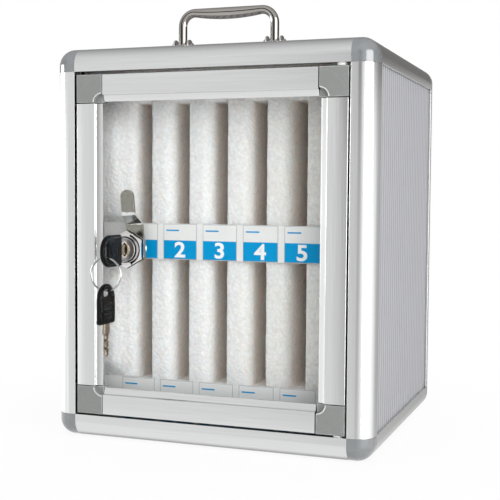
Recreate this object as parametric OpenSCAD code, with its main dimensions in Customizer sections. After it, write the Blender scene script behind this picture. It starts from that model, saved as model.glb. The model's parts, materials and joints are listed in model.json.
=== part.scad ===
// Portable phone storage cabinet: an aluminium edge frame with ball corners and ribbed panels,
// a right-hinged window door with a cam lock, foam slots for ten phones and a folding carry handle.
// Modules are drawn with y = 0 on the front face of the case, and in_case() moves them so that
// the origin is at the bottom centre of the whole object, keys included. Millimetres, +Z up.

/* [Case] */
// Width of the case, left to right
case_w = 215; // [200:1:260]
// Depth of the case, front to rear
case_d = 195; // [185:1:240]
// Height of the case, without the handle
case_h = 255; // [250:1:300]

/* [Edge frame] */
// Width of a frame rail on each of its two faces
rail_w = 15.4; // [15.2:0.1:17]
// Outer radius of a frame rail and of a ball corner
edge_r = 11; // [10.5:0.1:11.4]
// Thickness of a rail's outer skin
skin = 1.6; // [1.4:0.1:1.8]
// Thickness of the inner lip behind a panel
lip = 1.3; // [1:0.1:1.5]
// Radius of the round hole in a rail's end
socket_r = 2.5; // [2.2:0.1:2.6]
// Wall around the round hole
socket_wall = 0.9; // [0.7:0.1:1.1]
// Length of a ball corner's peg inside a rail
peg_l = 12; // [8:1:16]
// Clearance around a peg
peg_gap = 0.1; // [0.05:0.05:0.2]
// Depth of the jamb around the door opening
jamb_d = 9.2; // [9:0.1:9.4]

/* [Panels] */
// Thickness of a panel over its ribs
panel_t = 3.2; // [2.8:0.1:3.4]
// Clearance of a panel in its slot
panel_gap = 0.1; // [0.05:0.05:0.2]
// Distance from one rib to the next
rib_pitch = 6; // [4:0.5:9]
// Width of the groove between two ribs
groove_w = 2.2; // [1:0.1:3]
// Depth of the groove between two ribs
groove_d = 0.7; // [0.3:0.1:1]

/* [Door] */
// Gap on the left of the door
door_gap_left = 1.4; // [1.2:0.1:1.8]
// Gap on the right of the door
door_gap_right = 1.3; // [1.2:0.1:1.6]
// Gap under the door
door_gap_low = 1.2; // [1:0.1:1.8]
// Gap over the door
door_gap_top = 2.1; // [1.6:0.1:2.4]
// Set-back of the door's face from the front of the case
door_set = 0.5; // [0.4:0.1:0.7]
// Thickness of the door
door_t = 8.7; // [8.4:0.1:8.9]
// Width of a door bar with its lip
bar_w = 18; // [17:0.1:19]
// Width of a door bar's flat face
bar_face_w = 12.5; // [11.5:0.1:13]
// Set-back of the lip from the bar's face
lip_set = 2.5; // [2:0.1:3]
// Rounding of a door bar's edges
bar_round = 0.8; // [0.4:0.1:1]
// Radius of the round recess at a door corner's inner corner
notch_r = 6; // [5:0.5:7]
// Distance from a door bar's outer edge to its peg hole
bar_peg_in = 9; // [8.6:0.1:9.4]
// Radius of a door corner's peg
bar_peg_r = 1.6; // [1.2:0.1:1.7]
// Length of a door corner's peg
bar_peg_l = 8; // [5:1:12]

/* [Window] */
// Thickness of the clear pane
pane_t = 2.5; // [2.2:0.1:2.6]
// Set-back of the pane from the door's face
pane_set = 5; // [4.8:0.1:5.1]
// Distance from the door's edge to the pane's edge
pane_in = 13.6; // [13.2:0.1:14.2]
// Clearance of the pane in its groove
pane_gap = 0.1; // [0.05:0.05:0.15]

/* [Door hinge] */
// Distance from the door's right edge to the hinge axis
hinge_in = 4.8; // [4.6:0.1:4.9]
// Distance from the door's face to the hinge axis
hinge_set = 3.3; // [3:0.1:3.4]
// Radius of a hinge pin
hinge_r = 1.5; // [1.3:0.1:1.6]
// Length of a hinge pin inside the door
hinge_l = 12; // [8:1:14]
// Running clearance of a hinge pin
hinge_fit = 0.05; // [0.02:0.01:0.08]
// Radius of a bushing's sleeve
bushing_r = 2.3; // [2.1:0.1:2.5]
// Radius of a bushing's flange
flange_r = 3.1; // [2.8:0.1:3.3]
// Clearance between the door and a bushing
bushing_gap = 0.3; // [0.2:0.05:0.4]

/* [Lock] */
// Distance from the door's left edge to the lock's axis
lock_in = 34.7; // [32:0.1:38]
// Height of the lock's axis
lock_h = 125.1; // [110:0.1:140]
// How far the lock's bezel stands out of the door's face
bezel_out = 1.5; // [1:0.1:2.5]
// Radius of the round bezel
bezel_r = 8.5; // [8.3:0.1:9]
// Thickness of the six-sided flange
hex_t = 3.5; // [2.5:0.1:4.5]
// Distance from the centre to a corner of the flange
hex_r = 11.8; // [11:0.1:13]
// Radius of the barrel behind the pane
barrel_r = 8; // [7.8:0.1:8.2]
// Length of the barrel behind the front of the pane
barrel_l = 11; // [10.8:0.1:11.2]
// Radius of the turning plug
plug_r = 6; // [5.6:0.1:6.4]
// Radius of the plug's front plate
plug_face_r = 7.2; // [7:0.1:7.5]
// Thickness of the plug's front plate
plug_face_t = 1.5; // [1:0.1:2]
// Set-back of the plug's face from the bezel
plug_set = 1.5; // [1:0.1:2]
// Running clearance of the plug
plug_fit = 0.06; // [0.02:0.01:0.1]
// Side of the plug's square tail
tail_w = 6; // [5:0.1:6.5]
// Thickness of the nut behind the pane
nut_t = 3.5; // [2.5:0.1:4]
// Distance from the centre to a corner of the nut
nut_r = 11.5; // [11:0.1:12.5]

/* [Cam] */
// Thickness of the cam's plate
cam_t = 1.8; // [1.5:0.1:1.9]
// Width of the cam at its root
cam_root_w = 11.6; // [10.5:0.1:12.5]
// Width of the cam's tip
cam_tip_w = 9.6; // [8:0.1:10.4]
// Distance from the lock's axis to the start of the bend
cam_bend = 16.5; // [15.5:0.1:18]
// Length of the bend along the cam
cam_ramp = 6; // [5:0.1:8]
// How far the cam's tip reaches behind the jamb
cam_catch = 2.6; // [1.5:0.1:4]
// Clearance between the cam's tip and the back of the door
cam_gap = 0.6; // [0.4:0.1:0.8]
// Lean of the cam from upright, towards the latching side, in degrees
cam_lean = 3; // [0:0.5:4]
// Radius of the cam screw's head
screw_head_r = 4; // [3.4:0.1:4.5]
// Height of the cam screw's head
screw_head_t = 1.6; // [1.2:0.1:1.8]
// Radius of the cam screw's shank
screw_r = 1.5; // [1.2:0.1:1.8]
// Length of the cam screw's shank
screw_l = 3; // [2:0.5:3.5]

/* [Keys] */
// Length of a key's grip
grip_l = 25; // [23:0.5:28]
// Width of a key's grip
grip_w = 20; // [18:0.5:22]
// Thickness of a key's grip
grip_t = 3; // [2.6:0.1:3]
// Distance from the grip's end to the slot for the ring
slot_end = 3.2; // [2.8:0.1:4]
// Width of the slot for the ring
ring_slot_w = 5; // [4.6:0.1:5.4]
// Length of the slot for the ring
ring_slot_l = 11; // [10.6:0.1:11.4]
// Length of the wide neck of the blade
neck_l = 6; // [5:0.5:8]
// Width of the neck
neck_w = 6.5; // [6:0.1:7.5]
// Length of the cut part of the blade
blade_l = 14.5; // [12:0.5:15]
// Width of the cut part of the blade
blade_w = 4.6; // [4:0.1:5]
// Thickness of the blade
blade_t = 2; // [1.6:0.1:2.2]
// Length of the tang inside the grip
tang_l = 8; // [5:0.5:10]
// Depth of a notch in the blade
bit_d = 0.8; // [0.4:0.1:1]
// Clearance of the blade in the plug and of the neck from its face
key_gap = 0.25; // [0.2:0.05:0.3]

/* [Key ring] */
// Inner radius of the ring
ring_r = 9.3; // [9.2:0.1:10.5]
// Diameter of the ring's wire
ring_wire = 1.6; // [1.2:0.1:1.8]
// Clearance between the ring and the keys that it holds
ring_gap = 0.6; // [0.5:0.1:0.8]

/* [Foam] */
// Distance from the front of the case to the foam
foam_front = 23.5; // [23.2:0.1:26]
// Height of the lower slots' floor
slot_low = 37.2; // [30:0.1:42]
// Height of a lower slot
slot_low_h = 82.3; // [75:0.1:86]
// Thickness of the foam between the two tiers
tier_t = 20.8; // [16:0.1:24]
// Height of an upper slot
slot_high_h = 78.2; // [70:0.1:84]
// Width of a slot
slot_w = 11; // [9:0.1:14]
// Distance from one slot to the next
slot_pitch = 26.7; // [22:0.1:30]
// Slots in each tier
slot_n = 5; // [3:1:5]
// Thickness of the foam behind the slots
foam_back_t = 8; // [5:0.5:15]
// Clearance around the foam
foam_gap = 0.2; // [0.1:0.05:0.4]

/* [Label strips] */
// Height of a label strip
strip_h = 23.4; // [20:0.1:26]
// Thickness of a label strip
strip_t = 1; // [0.6:0.1:1.2]
// Distance from a label strip's end to the side of the foam
strip_in = 6; // [2:0.5:12]

/* [Carry handle] */
// Distance from the front of the case to the handle
handle_y = 38; // [36:0.5:110]
// Distance between the centres of the handle's legs
handle_span = 64; // [56:0.5:90]
// Height from the handle's pivot to the centre of its bar
handle_rise = 21.5; // [20:0.5:30]
// Radius of the handle's rod
rod_r = 2.8; // [2.5:0.1:3]
// Radius of the handle's bends, to the centre of the rod
bend_r = 6.5; // [5.5:0.5:9]
// Radius of the eye at a leg's foot
eye_r = 3; // [2.9:0.1:3.2]
// Thickness of the swollen part of the bar
belly_t = 4; // [3:0.1:4.4]
// How far the swollen part hangs under the bar
belly_drop = 1.5; // [1:0.1:3]
// Distance from a leg to the end of the swollen part
belly_in = 10; // [8:0.5:14]
// Height of the pivot above the top panel
pivot_h = 4.9; // [4.9:0.1:6]
// Length of a bracket's base plate
plate_l = 26; // [24:0.5:30]
// Width of a bracket's base plate
plate_w = 15; // [12:0.5:18]
// Thickness of a bracket's base plate
plate_t = 1.5; // [1.2:0.1:1.6]
// Thickness of a bracket's ear
ear_t = 3.3; // [2.5:0.1:3.6]
// Rounding of a bracket's ear
ear_r = 4.4; // [4:0.1:5]
// Clearance between a leg and an ear
ear_gap = 0.3; // [0.2:0.1:0.5]
// Radius of a handle pin
pin_r = 1.5; // [1.2:0.1:1.6]
// Running clearance of a handle pin
pin_fit = 0.05; // [0.02:0.01:0.08]
// Radius of a pin or rivet head
head_r = 2.2; // [1.9:0.1:2.3]
// Thickness of a pin or rivet head
head_t = 0.8; // [0.5:0.1:1.2]
// Radius of a rivet's shank
rivet_r = 1.2; // [1:0.1:1.4]
// Clearance of a seated pin, screw or rivet
seat_gap = 0.02; // [0.01:0.01:0.05]

/* [Hidden] */
$fn = 48;
eps = 0.5;
// Edge frame
socket_c = edge_r - (edge_r - skin - socket_r - 0.2) / sqrt(2);
core = socket_c + socket_r + socket_wall;
slot_root = core + socket_wall;
panel_in = slot_root + panel_gap;
slot_out = skin + panel_t + 2 * panel_gap;
inner = slot_out + lip;
post_l = case_h - 2 * rail_w;
cross_l = case_w - 2 * rail_w;
deep_l = case_d - 2 * rail_w;
panel_top = case_h - skin - panel_gap;
// Door
open_left = -case_w / 2 + rail_w;
open_right = case_w / 2 - rail_w;
door_left = open_left + door_gap_left;
door_right = open_right - door_gap_right;
door_low = rail_w + door_gap_low;
door_top = case_h - rail_w - door_gap_top;
door_corner = bar_w;
door_w = door_right - door_left;
door_h = door_top - door_low;
door_back = door_set + door_t;
pane_y = door_set + pane_set;
pane_back = pane_y + pane_t;
bar_peg_y = door_t / 2;
hinge_x = door_right - hinge_in;
hinge_y = door_set + hinge_set;
// Lock
lock_x = door_left + lock_in;
bezel_y = door_set - bezel_out;
plug_y = bezel_y + plug_set;
barrel_end = pane_y + barrel_l;
cam_y = barrel_end + key_gap;
cam_tip_y = door_back + cam_gap;
cam_l = lock_in + door_gap_left + cam_catch;
// Keys and ring
key_end = plug_y - key_gap - neck_l - grip_l;
slot_c = slot_end + ring_slot_w / 2;
ring_y = key_end + slot_c;
ring_mean = ring_r + ring_wire / 2;
ring_z = lock_h - ring_slot_l / 2 + ring_gap - ring_r;
spare_top = ring_z - ring_r + ring_gap / 2 + slot_end;
bit_n = 4;
// Origin
key_reach = ring_y - grip_w / 2;
front_y = -(case_d + key_reach) / 2;
// Foam
foam_x = case_w / 2 - core - foam_gap;
foam_rear = case_d - core - foam_gap;
tier_z = slot_low + slot_low_h;
upper_z = tier_z + tier_t;
foam_top_z = upper_z + slot_high_h;
divider_rear = foam_rear - foam_back_t;
strip_y = foam_front - strip_t;
// Handle
pivot_z = panel_top + pivot_h;
bar_l = handle_span - 2 * bend_r;
bend_swell = 0.1;
bend_lap = 0.2;
belly_half = handle_span / 2 - belly_in;
belly_sag = belly_drop + rod_r;
belly_arc = (pow(belly_half, 2) + pow(belly_sag, 2)) / (2 * belly_sag);
ear_in = rod_r + ear_gap;
ear_out = ear_in + ear_t;
rivet_x = (ear_out + plate_l / 2) / 2;
rivet_l = plate_t + panel_t;

frame_colour = [0.80, 0.81, 0.82];
corner_colour = [0.50, 0.52, 0.54];
panel_colour = [0.70, 0.69, 0.72];
foam_colour = [0.90, 0.89, 0.87];
card_colour = [0.94, 0.94, 0.93];
chrome_colour = [0.78, 0.79, 0.80];
zinc_colour = [0.55, 0.56, 0.56];
nylon_colour = [0.93, 0.93, 0.92];
grip_colour = [0.07, 0.07, 0.08];
blade_colour = [0.62, 0.60, 0.55];
pane_colour = [0.85, 0.92, 0.95, 0.25];

// Places

// From the front face of the case to the origin of the whole object
module in_case() {
  translate([0, front_y, 0]) children();
}

// An outer corner of the case, with the axes pointing inwards
module at_corner(right, rear, top) {
  translate([right * case_w - case_w / 2, rear * case_d, top * case_h])
    mirror([right, 0, 0])
      mirror([0, rear, 0])
        mirror([0, 0, top])
          children();
}

// An outer corner of the door, with the axes pointing inwards along its face and to the rear
module at_door_corner(right, top) {
  translate([right ? door_right : door_left, door_set, top ? door_top : door_low])
    mirror([right, 0, 0])
      mirror([0, 0, top])
        children();
}

// The lock's axis, with +Z to the rear and +Y downwards
module at_lock(y = 0) {
  translate([lock_x, y, lock_h]) rotate([-90, 0, 0]) children();
}

// One handle bracket's centre, on the top panel
module at_bracket(side) {
  translate([side * handle_span / 2, handle_y, panel_top]) children();
}

// Lays the x axis of a profile along z, for bars that run across
module laid_across() {
  mirror([1, 0, -1]) children();
}

// Lays the y axis of a profile along z, for bars that run front to rear
module laid_deep() {
  mirror([0, 1, -1]) children();
}

// Edge frame

// The rounded core of a rail, with the socket for a corner's peg
module core_profile() {
  difference() {
    intersection() {
      square(rail_w);
      union() {
        translate([edge_r, edge_r]) circle(edge_r);
        translate([edge_r, 0]) square([rail_w, skin]);
        translate([0, edge_r]) square([skin, rail_w]);
      }
    }
    translate([core, skin]) square(2 * edge_r);
    translate([skin, core]) square(2 * edge_r);
    translate([socket_c, socket_c]) circle(socket_r);
  }
}

// The inner lip and slot root that hold one panel, along x
module panel_lip() {
  translate([core - socket_wall, slot_out]) square([rail_w - core + socket_wall, lip]);
  translate([core - socket_wall, skin / 2])
    square([slot_root - core + socket_wall, slot_out - skin / 2 + lip]);
}

// A rail that holds a panel on each of its two faces
module edge_profile() {
  difference() {
    union() {
      core_profile();
      panel_lip();
      mirror([1, -1]) panel_lip();
    }
    translate([socket_c, socket_c]) circle(socket_r);
  }
}

// A rail beside the door: its front face along x ends in a jamb, its other face holds a panel
module front_profile() {
  difference() {
    union() {
      core_profile();
      mirror([1, -1]) panel_lip();
      translate([rail_w - skin, 0]) square([skin, jamb_d]);
    }
    translate([socket_c, socket_c]) circle(socket_r);
  }
}

module front_post(right) {
  color(frame_colour)
    in_case()
      at_corner(right, 0, 0)
        translate([0, 0, rail_w]) linear_extrude(post_l) front_profile();
}

module rear_post(right) {
  color(frame_colour)
    in_case()
      at_corner(right, 1, 0)
        translate([0, 0, rail_w]) linear_extrude(post_l) edge_profile();
}

// A front rail, drilled for the door's hinge bushing
module front_rail(top) {
  color(frame_colour)
    in_case()
      difference() {
        at_corner(0, 0, top)
          laid_across()
            translate([0, 0, rail_w]) linear_extrude(cross_l) front_profile();
        translate([hinge_x, hinge_y, top ? case_h - rail_w - eps : rail_w + eps - skin - 2 * eps])
          cylinder(r = bushing_r + seat_gap, h = skin + 2 * eps);
      }
}

module rear_rail(top) {
  color(frame_colour)
    in_case()
      at_corner(0, 1, top)
        laid_across()
          translate([0, 0, rail_w]) linear_extrude(cross_l) edge_profile();
}

module side_rail(right, top) {
  color(frame_colour)
    in_case()
      at_corner(right, 0, top)
        laid_deep()
          translate([0, 0, rail_w]) linear_extrude(deep_l) edge_profile();
}

// A block with one corner and the three edges that meet there rounded
module ball_block(size, r) {
  intersection() {
    cube(size);
    union() {
      translate([r, r, r]) sphere(r);
      translate([r, r, r]) cylinder(r = r, h = size);
      translate([r, r, r]) rotate([0, 90, 0]) cylinder(r = r, h = size);
      translate([r, r, r]) rotate([-90, 0, 0]) cylinder(r = r, h = size);
      translate([r, r, 0]) cube(size);
      translate([r, 0, r]) cube(size);
      translate([0, r, r]) cube(size);
    }
  }
}

// A ball corner with a peg into each of the three rails that meet there
module ball_corner(right, rear, top) {
  peg_r = socket_r - peg_gap;
  color(corner_colour)
    in_case()
      at_corner(right, rear, top) {
        difference() {
          ball_block(rail_w, edge_r);
          translate([inner, inner, inner]) cube(rail_w);
        }
        translate([socket_c, socket_c, rail_w - 1]) cylinder(r = peg_r, h = peg_l + 1);
        translate([rail_w - 1, socket_c, socket_c]) rotate([0, 90, 0]) cylinder(r = peg_r, h = peg_l + 1);
        translate([socket_c, rail_w - 1, socket_c]) rotate([-90, 0, 0]) cylinder(r = peg_r, h = peg_l + 1);
      }
}

// Panels

// Outline of a ribbed sheet: flat inside, with a V groove between two ribs outside
module rib_profile(w) {
  n = floor((w - rib_pitch) / rib_pitch);
  first = (w - (n - 1) * rib_pitch) / 2;
  grooves = [
    for (i = [0 : n - 1], k = [-1 : 1])
      [first + i * rib_pitch + k * groove_w / 2, k == 0 ? groove_d : 0]
  ];
  polygon(concat([[0, panel_t], [0, 0]], grooves, [[w, 0], [w, panel_t]]));
}

// A ribbed sheet in the rails' slots, with its corners cut clear of the ball corners
module ribbed_sheet(w, h) {
  clip = rail_w - panel_in + panel_gap;
  sheet_w = w - 2 * panel_in;
  sheet_h = h - 2 * panel_in;
  translate([panel_in, skin + panel_gap, panel_in])
    difference() {
      linear_extrude(sheet_h) rib_profile(sheet_w);
      for (x = [-eps, sheet_w - clip], z = [-eps, sheet_h - clip])
        translate([x, -eps, z]) cube([clip + eps, panel_t + 2 * eps, clip + eps]);
    }
}

module side_panel(right) {
  color(panel_colour)
    in_case()
      at_corner(right, 0, 0)
        mirror([1, -1, 0]) ribbed_sheet(case_d, case_h);
}

module rear_panel() {
  color(panel_colour) in_case() at_corner(0, 1, 0) ribbed_sheet(case_w, case_h);
}

module bottom_panel() {
  color(panel_colour) in_case() at_corner(0, 0, 0) laid_deep() ribbed_sheet(case_w, case_d);
}

// The top panel, drilled for the rivets of the handle's brackets
module top_panel() {
  color(panel_colour)
    in_case()
      difference() {
        at_corner(0, 0, 1) laid_deep() ribbed_sheet(case_w, case_d);
        each_rivet() translate([0, 0, -panel_t - eps])
          cylinder(r = rivet_r + seat_gap, h = panel_t + 2 * eps);
      }
}

// Foam and labels

module foam_slab(z0, z1) {
  color(foam_colour)
    in_case()
      translate([-foam_x, foam_front, z0]) cube([2 * foam_x, divider_rear - foam_front, z1 - z0]);
}

// The upright foam walls between the slots of one tier, and beside the outer slots
module foam_dividers(z0, h) {
  slot_left = -(slot_n - 1) / 2 * slot_pitch - slot_w / 2;
  color(foam_colour)
    in_case()
      for (i = [0 : slot_n]) {
        x0 = i == 0 ? -foam_x : slot_left + (i - 1) * slot_pitch + slot_w;
        x1 = i == slot_n ? foam_x : slot_left + i * slot_pitch;
        translate([x0, foam_front, z0]) cube([x1 - x0, divider_rear - foam_front, h]);
      }
}

module foam_back() {
  color(foam_colour)
    in_case()
      translate([-foam_x, divider_rear, inner]) cube([2 * foam_x, foam_back_t, case_h - 2 * inner]);
}

// A white strip that carries the number labels, centred on a height
module label_strip(z) {
  color(card_colour)
    in_case()
      translate([-foam_x + strip_in, strip_y, z - strip_h / 2])
        cube([2 * (foam_x - strip_in), strip_t, strip_h]);
}

// Door

// A rectangle with round corners
module round_rect(w, h, r) {
  translate([r, 0]) square([w - 2 * r, h]);
  translate([0, r]) square([w, h - 2 * r]);
  for (x = [r, w - r], y = [r, h - r]) translate([x, y]) circle(r);
}

// Section of a door bar: x from its outer edge inwards, y from its face to the rear
module bar_profile() {
  difference() {
    union() {
      round_rect(bar_face_w, door_t, bar_round);
      translate([bar_face_w / 2, lip_set]) round_rect(bar_w - bar_face_w / 2, door_t - lip_set, bar_round);
    }
    translate([pane_in - pane_gap, pane_set - pane_gap]) square([bar_w, pane_t + 2 * pane_gap]);
    translate([bar_peg_in, bar_peg_y]) circle(bar_peg_r + peg_gap);
  }
}

module door_stile(right) {
  color(frame_colour)
    in_case()
      at_door_corner(right, 0)
        translate([0, 0, door_corner]) linear_extrude(door_h - 2 * door_corner) bar_profile();
}

module door_rail(top) {
  color(frame_colour)
    in_case()
      at_door_corner(0, top)
        laid_across()
          translate([0, 0, door_corner]) linear_extrude(door_w - 2 * door_corner) bar_profile();
}

// A square door corner with a round recess, two pegs and, on the hinge side, the hole for a pin
module door_corner_block(right, top) {
  color(corner_colour)
    in_case()
      at_door_corner(right, top)
        difference() {
          union() {
            cube([door_corner, door_t, door_corner]);
            translate([bar_peg_in, bar_peg_y, door_corner - 1]) cylinder(r = bar_peg_r, h = bar_peg_l + 1);
            translate([door_corner - 1, bar_peg_y, bar_peg_in])
              rotate([0, 90, 0]) cylinder(r = bar_peg_r, h = bar_peg_l + 1);
          }
          translate([door_corner, -eps, door_corner])
            rotate([-90, 0, 0]) cylinder(r = notch_r, h = lip_set + eps);
          if (right)
            translate([hinge_in, hinge_set, -eps]) cylinder(r = hinge_r + seat_gap, h = hinge_l + eps);
        }
}

// The clear pane, with its corners cut clear of the door corners and a hole for the lock
module window_pane() {
  clip = door_corner - pane_in + pane_gap;
  pane_w = door_w - 2 * pane_in;
  pane_h = door_h - 2 * pane_in;
  color(pane_colour)
    in_case()
      difference() {
        translate([door_left + pane_in, pane_y, door_low + pane_in])
          difference() {
            cube([pane_w, pane_t, pane_h]);
            for (x = [-eps, pane_w - clip], z = [-eps, pane_h - clip])
              translate([x, -eps, z]) cube([clip + eps, pane_t + 2 * eps, clip + eps]);
          }
        at_lock(pane_y - eps) cylinder(r = barrel_r + peg_gap, h = pane_t + 2 * eps);
      }
}

// A steel pin in each hinge-side door corner
module hinge_pins() {
  color(chrome_colour)
    in_case()
      for (top = [0, 1])
        at_door_corner(1, top)
          translate([hinge_in, hinge_set, -(top ? door_gap_top : door_gap_low) - skin])
            cylinder(r = hinge_r, h = hinge_l + skin + (top ? door_gap_top : door_gap_low));
}

// A flanged nylon bushing in each front rail, around a hinge pin
module hinge_bushings() {
  color(nylon_colour)
    in_case()
      for (top = [0, 1]) {
        gap = top ? door_gap_top : door_gap_low;
        at_door_corner(1, top)
          translate([hinge_in, hinge_set, -gap - skin])
            difference() {
              union() {
                cylinder(r = bushing_r, h = skin + gap / 2);
                translate([0, 0, skin]) cylinder(r = flange_r, h = gap - bushing_gap);
              }
              translate([0, 0, -eps]) cylinder(r = hinge_r + hinge_fit, h = skin + gap + 2 * eps);
            }
      }
}

// Lock

module lock_body() {
  hex_y = pane_y - hex_t;
  face_end = plug_y + plug_face_t;
  color(chrome_colour)
    in_case()
      difference() {
        union() {
          at_lock(bezel_y) cylinder(r = bezel_r, h = pane_y - bezel_y);
          at_lock(hex_y) rotate([0, 0, 30]) cylinder(r = hex_r, h = hex_t, $fn = 6);
          at_lock(pane_y - 1) cylinder(r = barrel_r, h = barrel_l + 1);
        }
        at_lock(bezel_y - eps) cylinder(r = plug_r + plug_fit, h = barrel_end - bezel_y + 2 * eps);
        at_lock(bezel_y - eps)
          cylinder(r = plug_face_r + plug_fit, h = face_end + plug_fit - bezel_y + eps);
      }
}

module lock_nut() {
  color(chrome_colour)
    in_case()
      at_lock(pane_back)
        difference() {
          rotate([0, 0, 30]) cylinder(r = nut_r, h = nut_t, $fn = 6);
          translate([0, 0, -eps]) cylinder(r = barrel_r + seat_gap, h = nut_t + 2 * eps);
        }
}

// The turning plug, with the keyway in front and a square tail for the cam
module lock_plug() {
  key_w = blade_t + 2 * key_gap;
  key_h = blade_w + 2 * key_gap;
  color(chrome_colour)
    in_case()
      difference() {
        union() {
          at_lock(plug_y) cylinder(r = plug_face_r, h = plug_face_t);
          at_lock(plug_y + plug_face_t / 2) cylinder(r = plug_r, h = cam_y - plug_y - plug_face_t / 2);
          at_lock(cam_y - 1)
            rotate([0, 0, -cam_lean]) translate([-tail_w / 2, -tail_w / 2]) cube([tail_w, tail_w, cam_t + 1]);
        }
        at_lock(plug_y - eps)
          translate([-key_w / 2, -key_h / 2]) cube([key_w, key_h, blade_l + key_gap + eps]);
        at_lock(cam_y + cam_t - screw_l) cylinder(r = screw_r + seat_gap, h = screw_l + eps);
      }
}

// Side view of the cranked cam: x along the cam from the lock's axis, y to the rear
module cam_bends() {
  polygon([
    [-cam_root_w, cam_y], [cam_bend, cam_y], [cam_bend + cam_ramp, cam_tip_y], [cam_l, cam_tip_y],
    [cam_l, cam_tip_y + cam_t], [cam_bend + cam_ramp + cam_t / 2, cam_tip_y + cam_t],
    [cam_bend + cam_t / 2, cam_y + cam_t], [-cam_root_w, cam_y + cam_t]
  ]);
}

// Front view of the cam: y along the cam from the lock's axis
module cam_outline() {
  difference() {
    union() {
      circle(cam_root_w / 2 + 1);
      translate([-cam_root_w / 2, 0]) square([cam_root_w, cam_bend]);
      polygon([
        [-cam_root_w / 2, cam_bend], [cam_root_w / 2, cam_bend],
        [cam_tip_w / 2, cam_bend + cam_ramp], [-cam_tip_w / 2, cam_bend + cam_ramp]
      ]);
      translate([-cam_tip_w / 2, cam_bend + cam_ramp])
        square([cam_tip_w, cam_l - cam_bend - cam_ramp - cam_tip_w / 2]);
      translate([0, cam_l - cam_tip_w / 2]) circle(cam_tip_w / 2);
    }
    square(tail_w + 2 * seat_gap, center = true);
  }
}

module lock_cam() {
  color(zinc_colour)
    in_case()
      translate([lock_x, 0, lock_h])
        rotate([0, -cam_lean, 0])
          intersection() {
            translate([-cam_root_w, 0, 0])
              rotate([90, 0, 90]) mirror([1, -1]) linear_extrude(2 * cam_root_w) cam_bends();
            translate([0, case_d, 0]) rotate([90, 0, 0]) linear_extrude(case_d) cam_outline();
          }
}

module cam_screw() {
  color(chrome_colour)
    in_case()
      union() {
        at_lock(cam_y + cam_t) cylinder(r = screw_head_r, h = screw_head_t);
        at_lock(cam_y + cam_t - screw_l) cylinder(r = screw_r, h = screw_l + screw_head_t / 2);
      }
}

// Keys: x runs from the grip's end to the blade's tip, y across, z through the thickness

module grip_shape() {
  slot_half = (ring_slot_l - ring_slot_w) / 2;
  difference() {
    union() {
      translate([grip_w / 2, 0, -grip_t / 2]) cylinder(r = grip_w / 2, h = grip_t);
      translate([grip_w / 2, -grip_w / 2, -grip_t / 2]) cube([grip_l - grip_w / 2, grip_w, grip_t]);
    }
    for (y = [-slot_half, slot_half])
      translate([slot_c, y, -grip_t]) cylinder(r = ring_slot_w / 2, h = 2 * grip_t);
    translate([slot_c - ring_slot_w / 2, -slot_half, -grip_t])
      cube([ring_slot_w, 2 * slot_half, 2 * grip_t]);
    translate([grip_l - tang_l - seat_gap, -blade_w / 2 - seat_gap, -blade_t / 2 - seat_gap])
      cube([tang_l + eps, blade_w + 2 * seat_gap, blade_t + 2 * seat_gap]);
  }
}

module blade_shape() {
  bit = blade_l / (bit_n + 1);
  tip = blade_w / 4;
  upper = [
    for (i = [1 : bit_n], k = [-1 : 1])
      [i * bit + k * bit / 2.5, blade_w / 2 - (k == 0 ? bit_d : 0)]
  ];
  lower = [for (i = [len(upper) - 1 : -1 : 0]) [upper[i][0], -upper[i][1]]];
  outline = concat(
    [[-eps, -blade_w / 2], [-eps, blade_w / 2]], upper, [[blade_l, tip], [blade_l, -tip]], lower
  );
  translate([grip_l + neck_l, 0, -blade_t / 2]) linear_extrude(blade_t) polygon(outline);
  translate([grip_l, -neck_w / 2, -blade_t / 2]) cube([neck_l, neck_w, blade_t]);
  translate([grip_l - tang_l, -blade_w / 2, -blade_t / 2]) cube([tang_l + eps, blade_w, blade_t]);
}

// The key in the lock, with its width upright
module at_key() {
  in_case() translate([lock_x, key_end, lock_h]) rotate([90, 0, 90]) children();
}

// The spare key, hanging on the ring
module at_spare_key() {
  in_case() translate([lock_x, ring_y, spare_top]) rotate([0, 90, 0]) children();
}

module key_grip() {
  color(grip_colour) at_key() grip_shape();
}

module key_blade() {
  color(blade_colour) at_key() blade_shape();
}

module spare_key_grip() {
  color(grip_colour) at_spare_key() grip_shape();
}

module spare_key_blade() {
  color(blade_colour) at_spare_key() blade_shape();
}

module key_ring() {
  color(chrome_colour)
    in_case()
      translate([lock_x, ring_y, ring_z])
        rotate([90, 0, 0]) rotate_extrude() translate([ring_mean, 0]) circle(ring_wire / 2);
}

// Carry handle

// Each rivet's place, on the top of the top panel
module each_rivet() {
  for (side = [-1, 1], end = [-1, 1])
    at_bracket(side) translate([end * rivet_x, 0, 0]) children();
}

// A bracket: a base plate with two ears that hold one leg's pin
module handle_bracket(side) {
  color(chrome_colour)
    in_case()
      at_bracket(side)
        difference() {
          union() {
            translate([-plate_l / 2, -plate_w / 2, 0]) cube([plate_l, plate_w, plate_t]);
            for (x = [-ear_out, ear_in]) translate([x, 0, 0]) {
              translate([0, -ear_r, plate_t / 2]) cube([ear_t, 2 * ear_r, pivot_h - plate_t / 2]);
              translate([0, 0, pivot_h]) rotate([0, 90, 0]) cylinder(r = ear_r, h = ear_t);
            }
          }
          translate([-ear_out - eps, 0, pivot_h])
            rotate([0, 90, 0]) cylinder(r = pin_r + seat_gap, h = 2 * (ear_out + eps));
          translate([-ear_in, -plate_w, plate_t]) cube([2 * ear_in, 2 * plate_w, plate_t]);
          for (x = [-rivet_x, rivet_x])
            translate([x, 0, -eps]) cylinder(r = rivet_r + seat_gap, h = plate_t + 2 * eps);
        }
}

module handle_rivets() {
  color(chrome_colour)
    in_case()
      each_rivet() {
        translate([0, 0, plate_t]) cylinder(r = head_r, h = head_t);
        translate([0, 0, plate_t - rivet_l]) cylinder(r = rivet_r, h = rivet_l + head_t / 2);
      }
}

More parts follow.
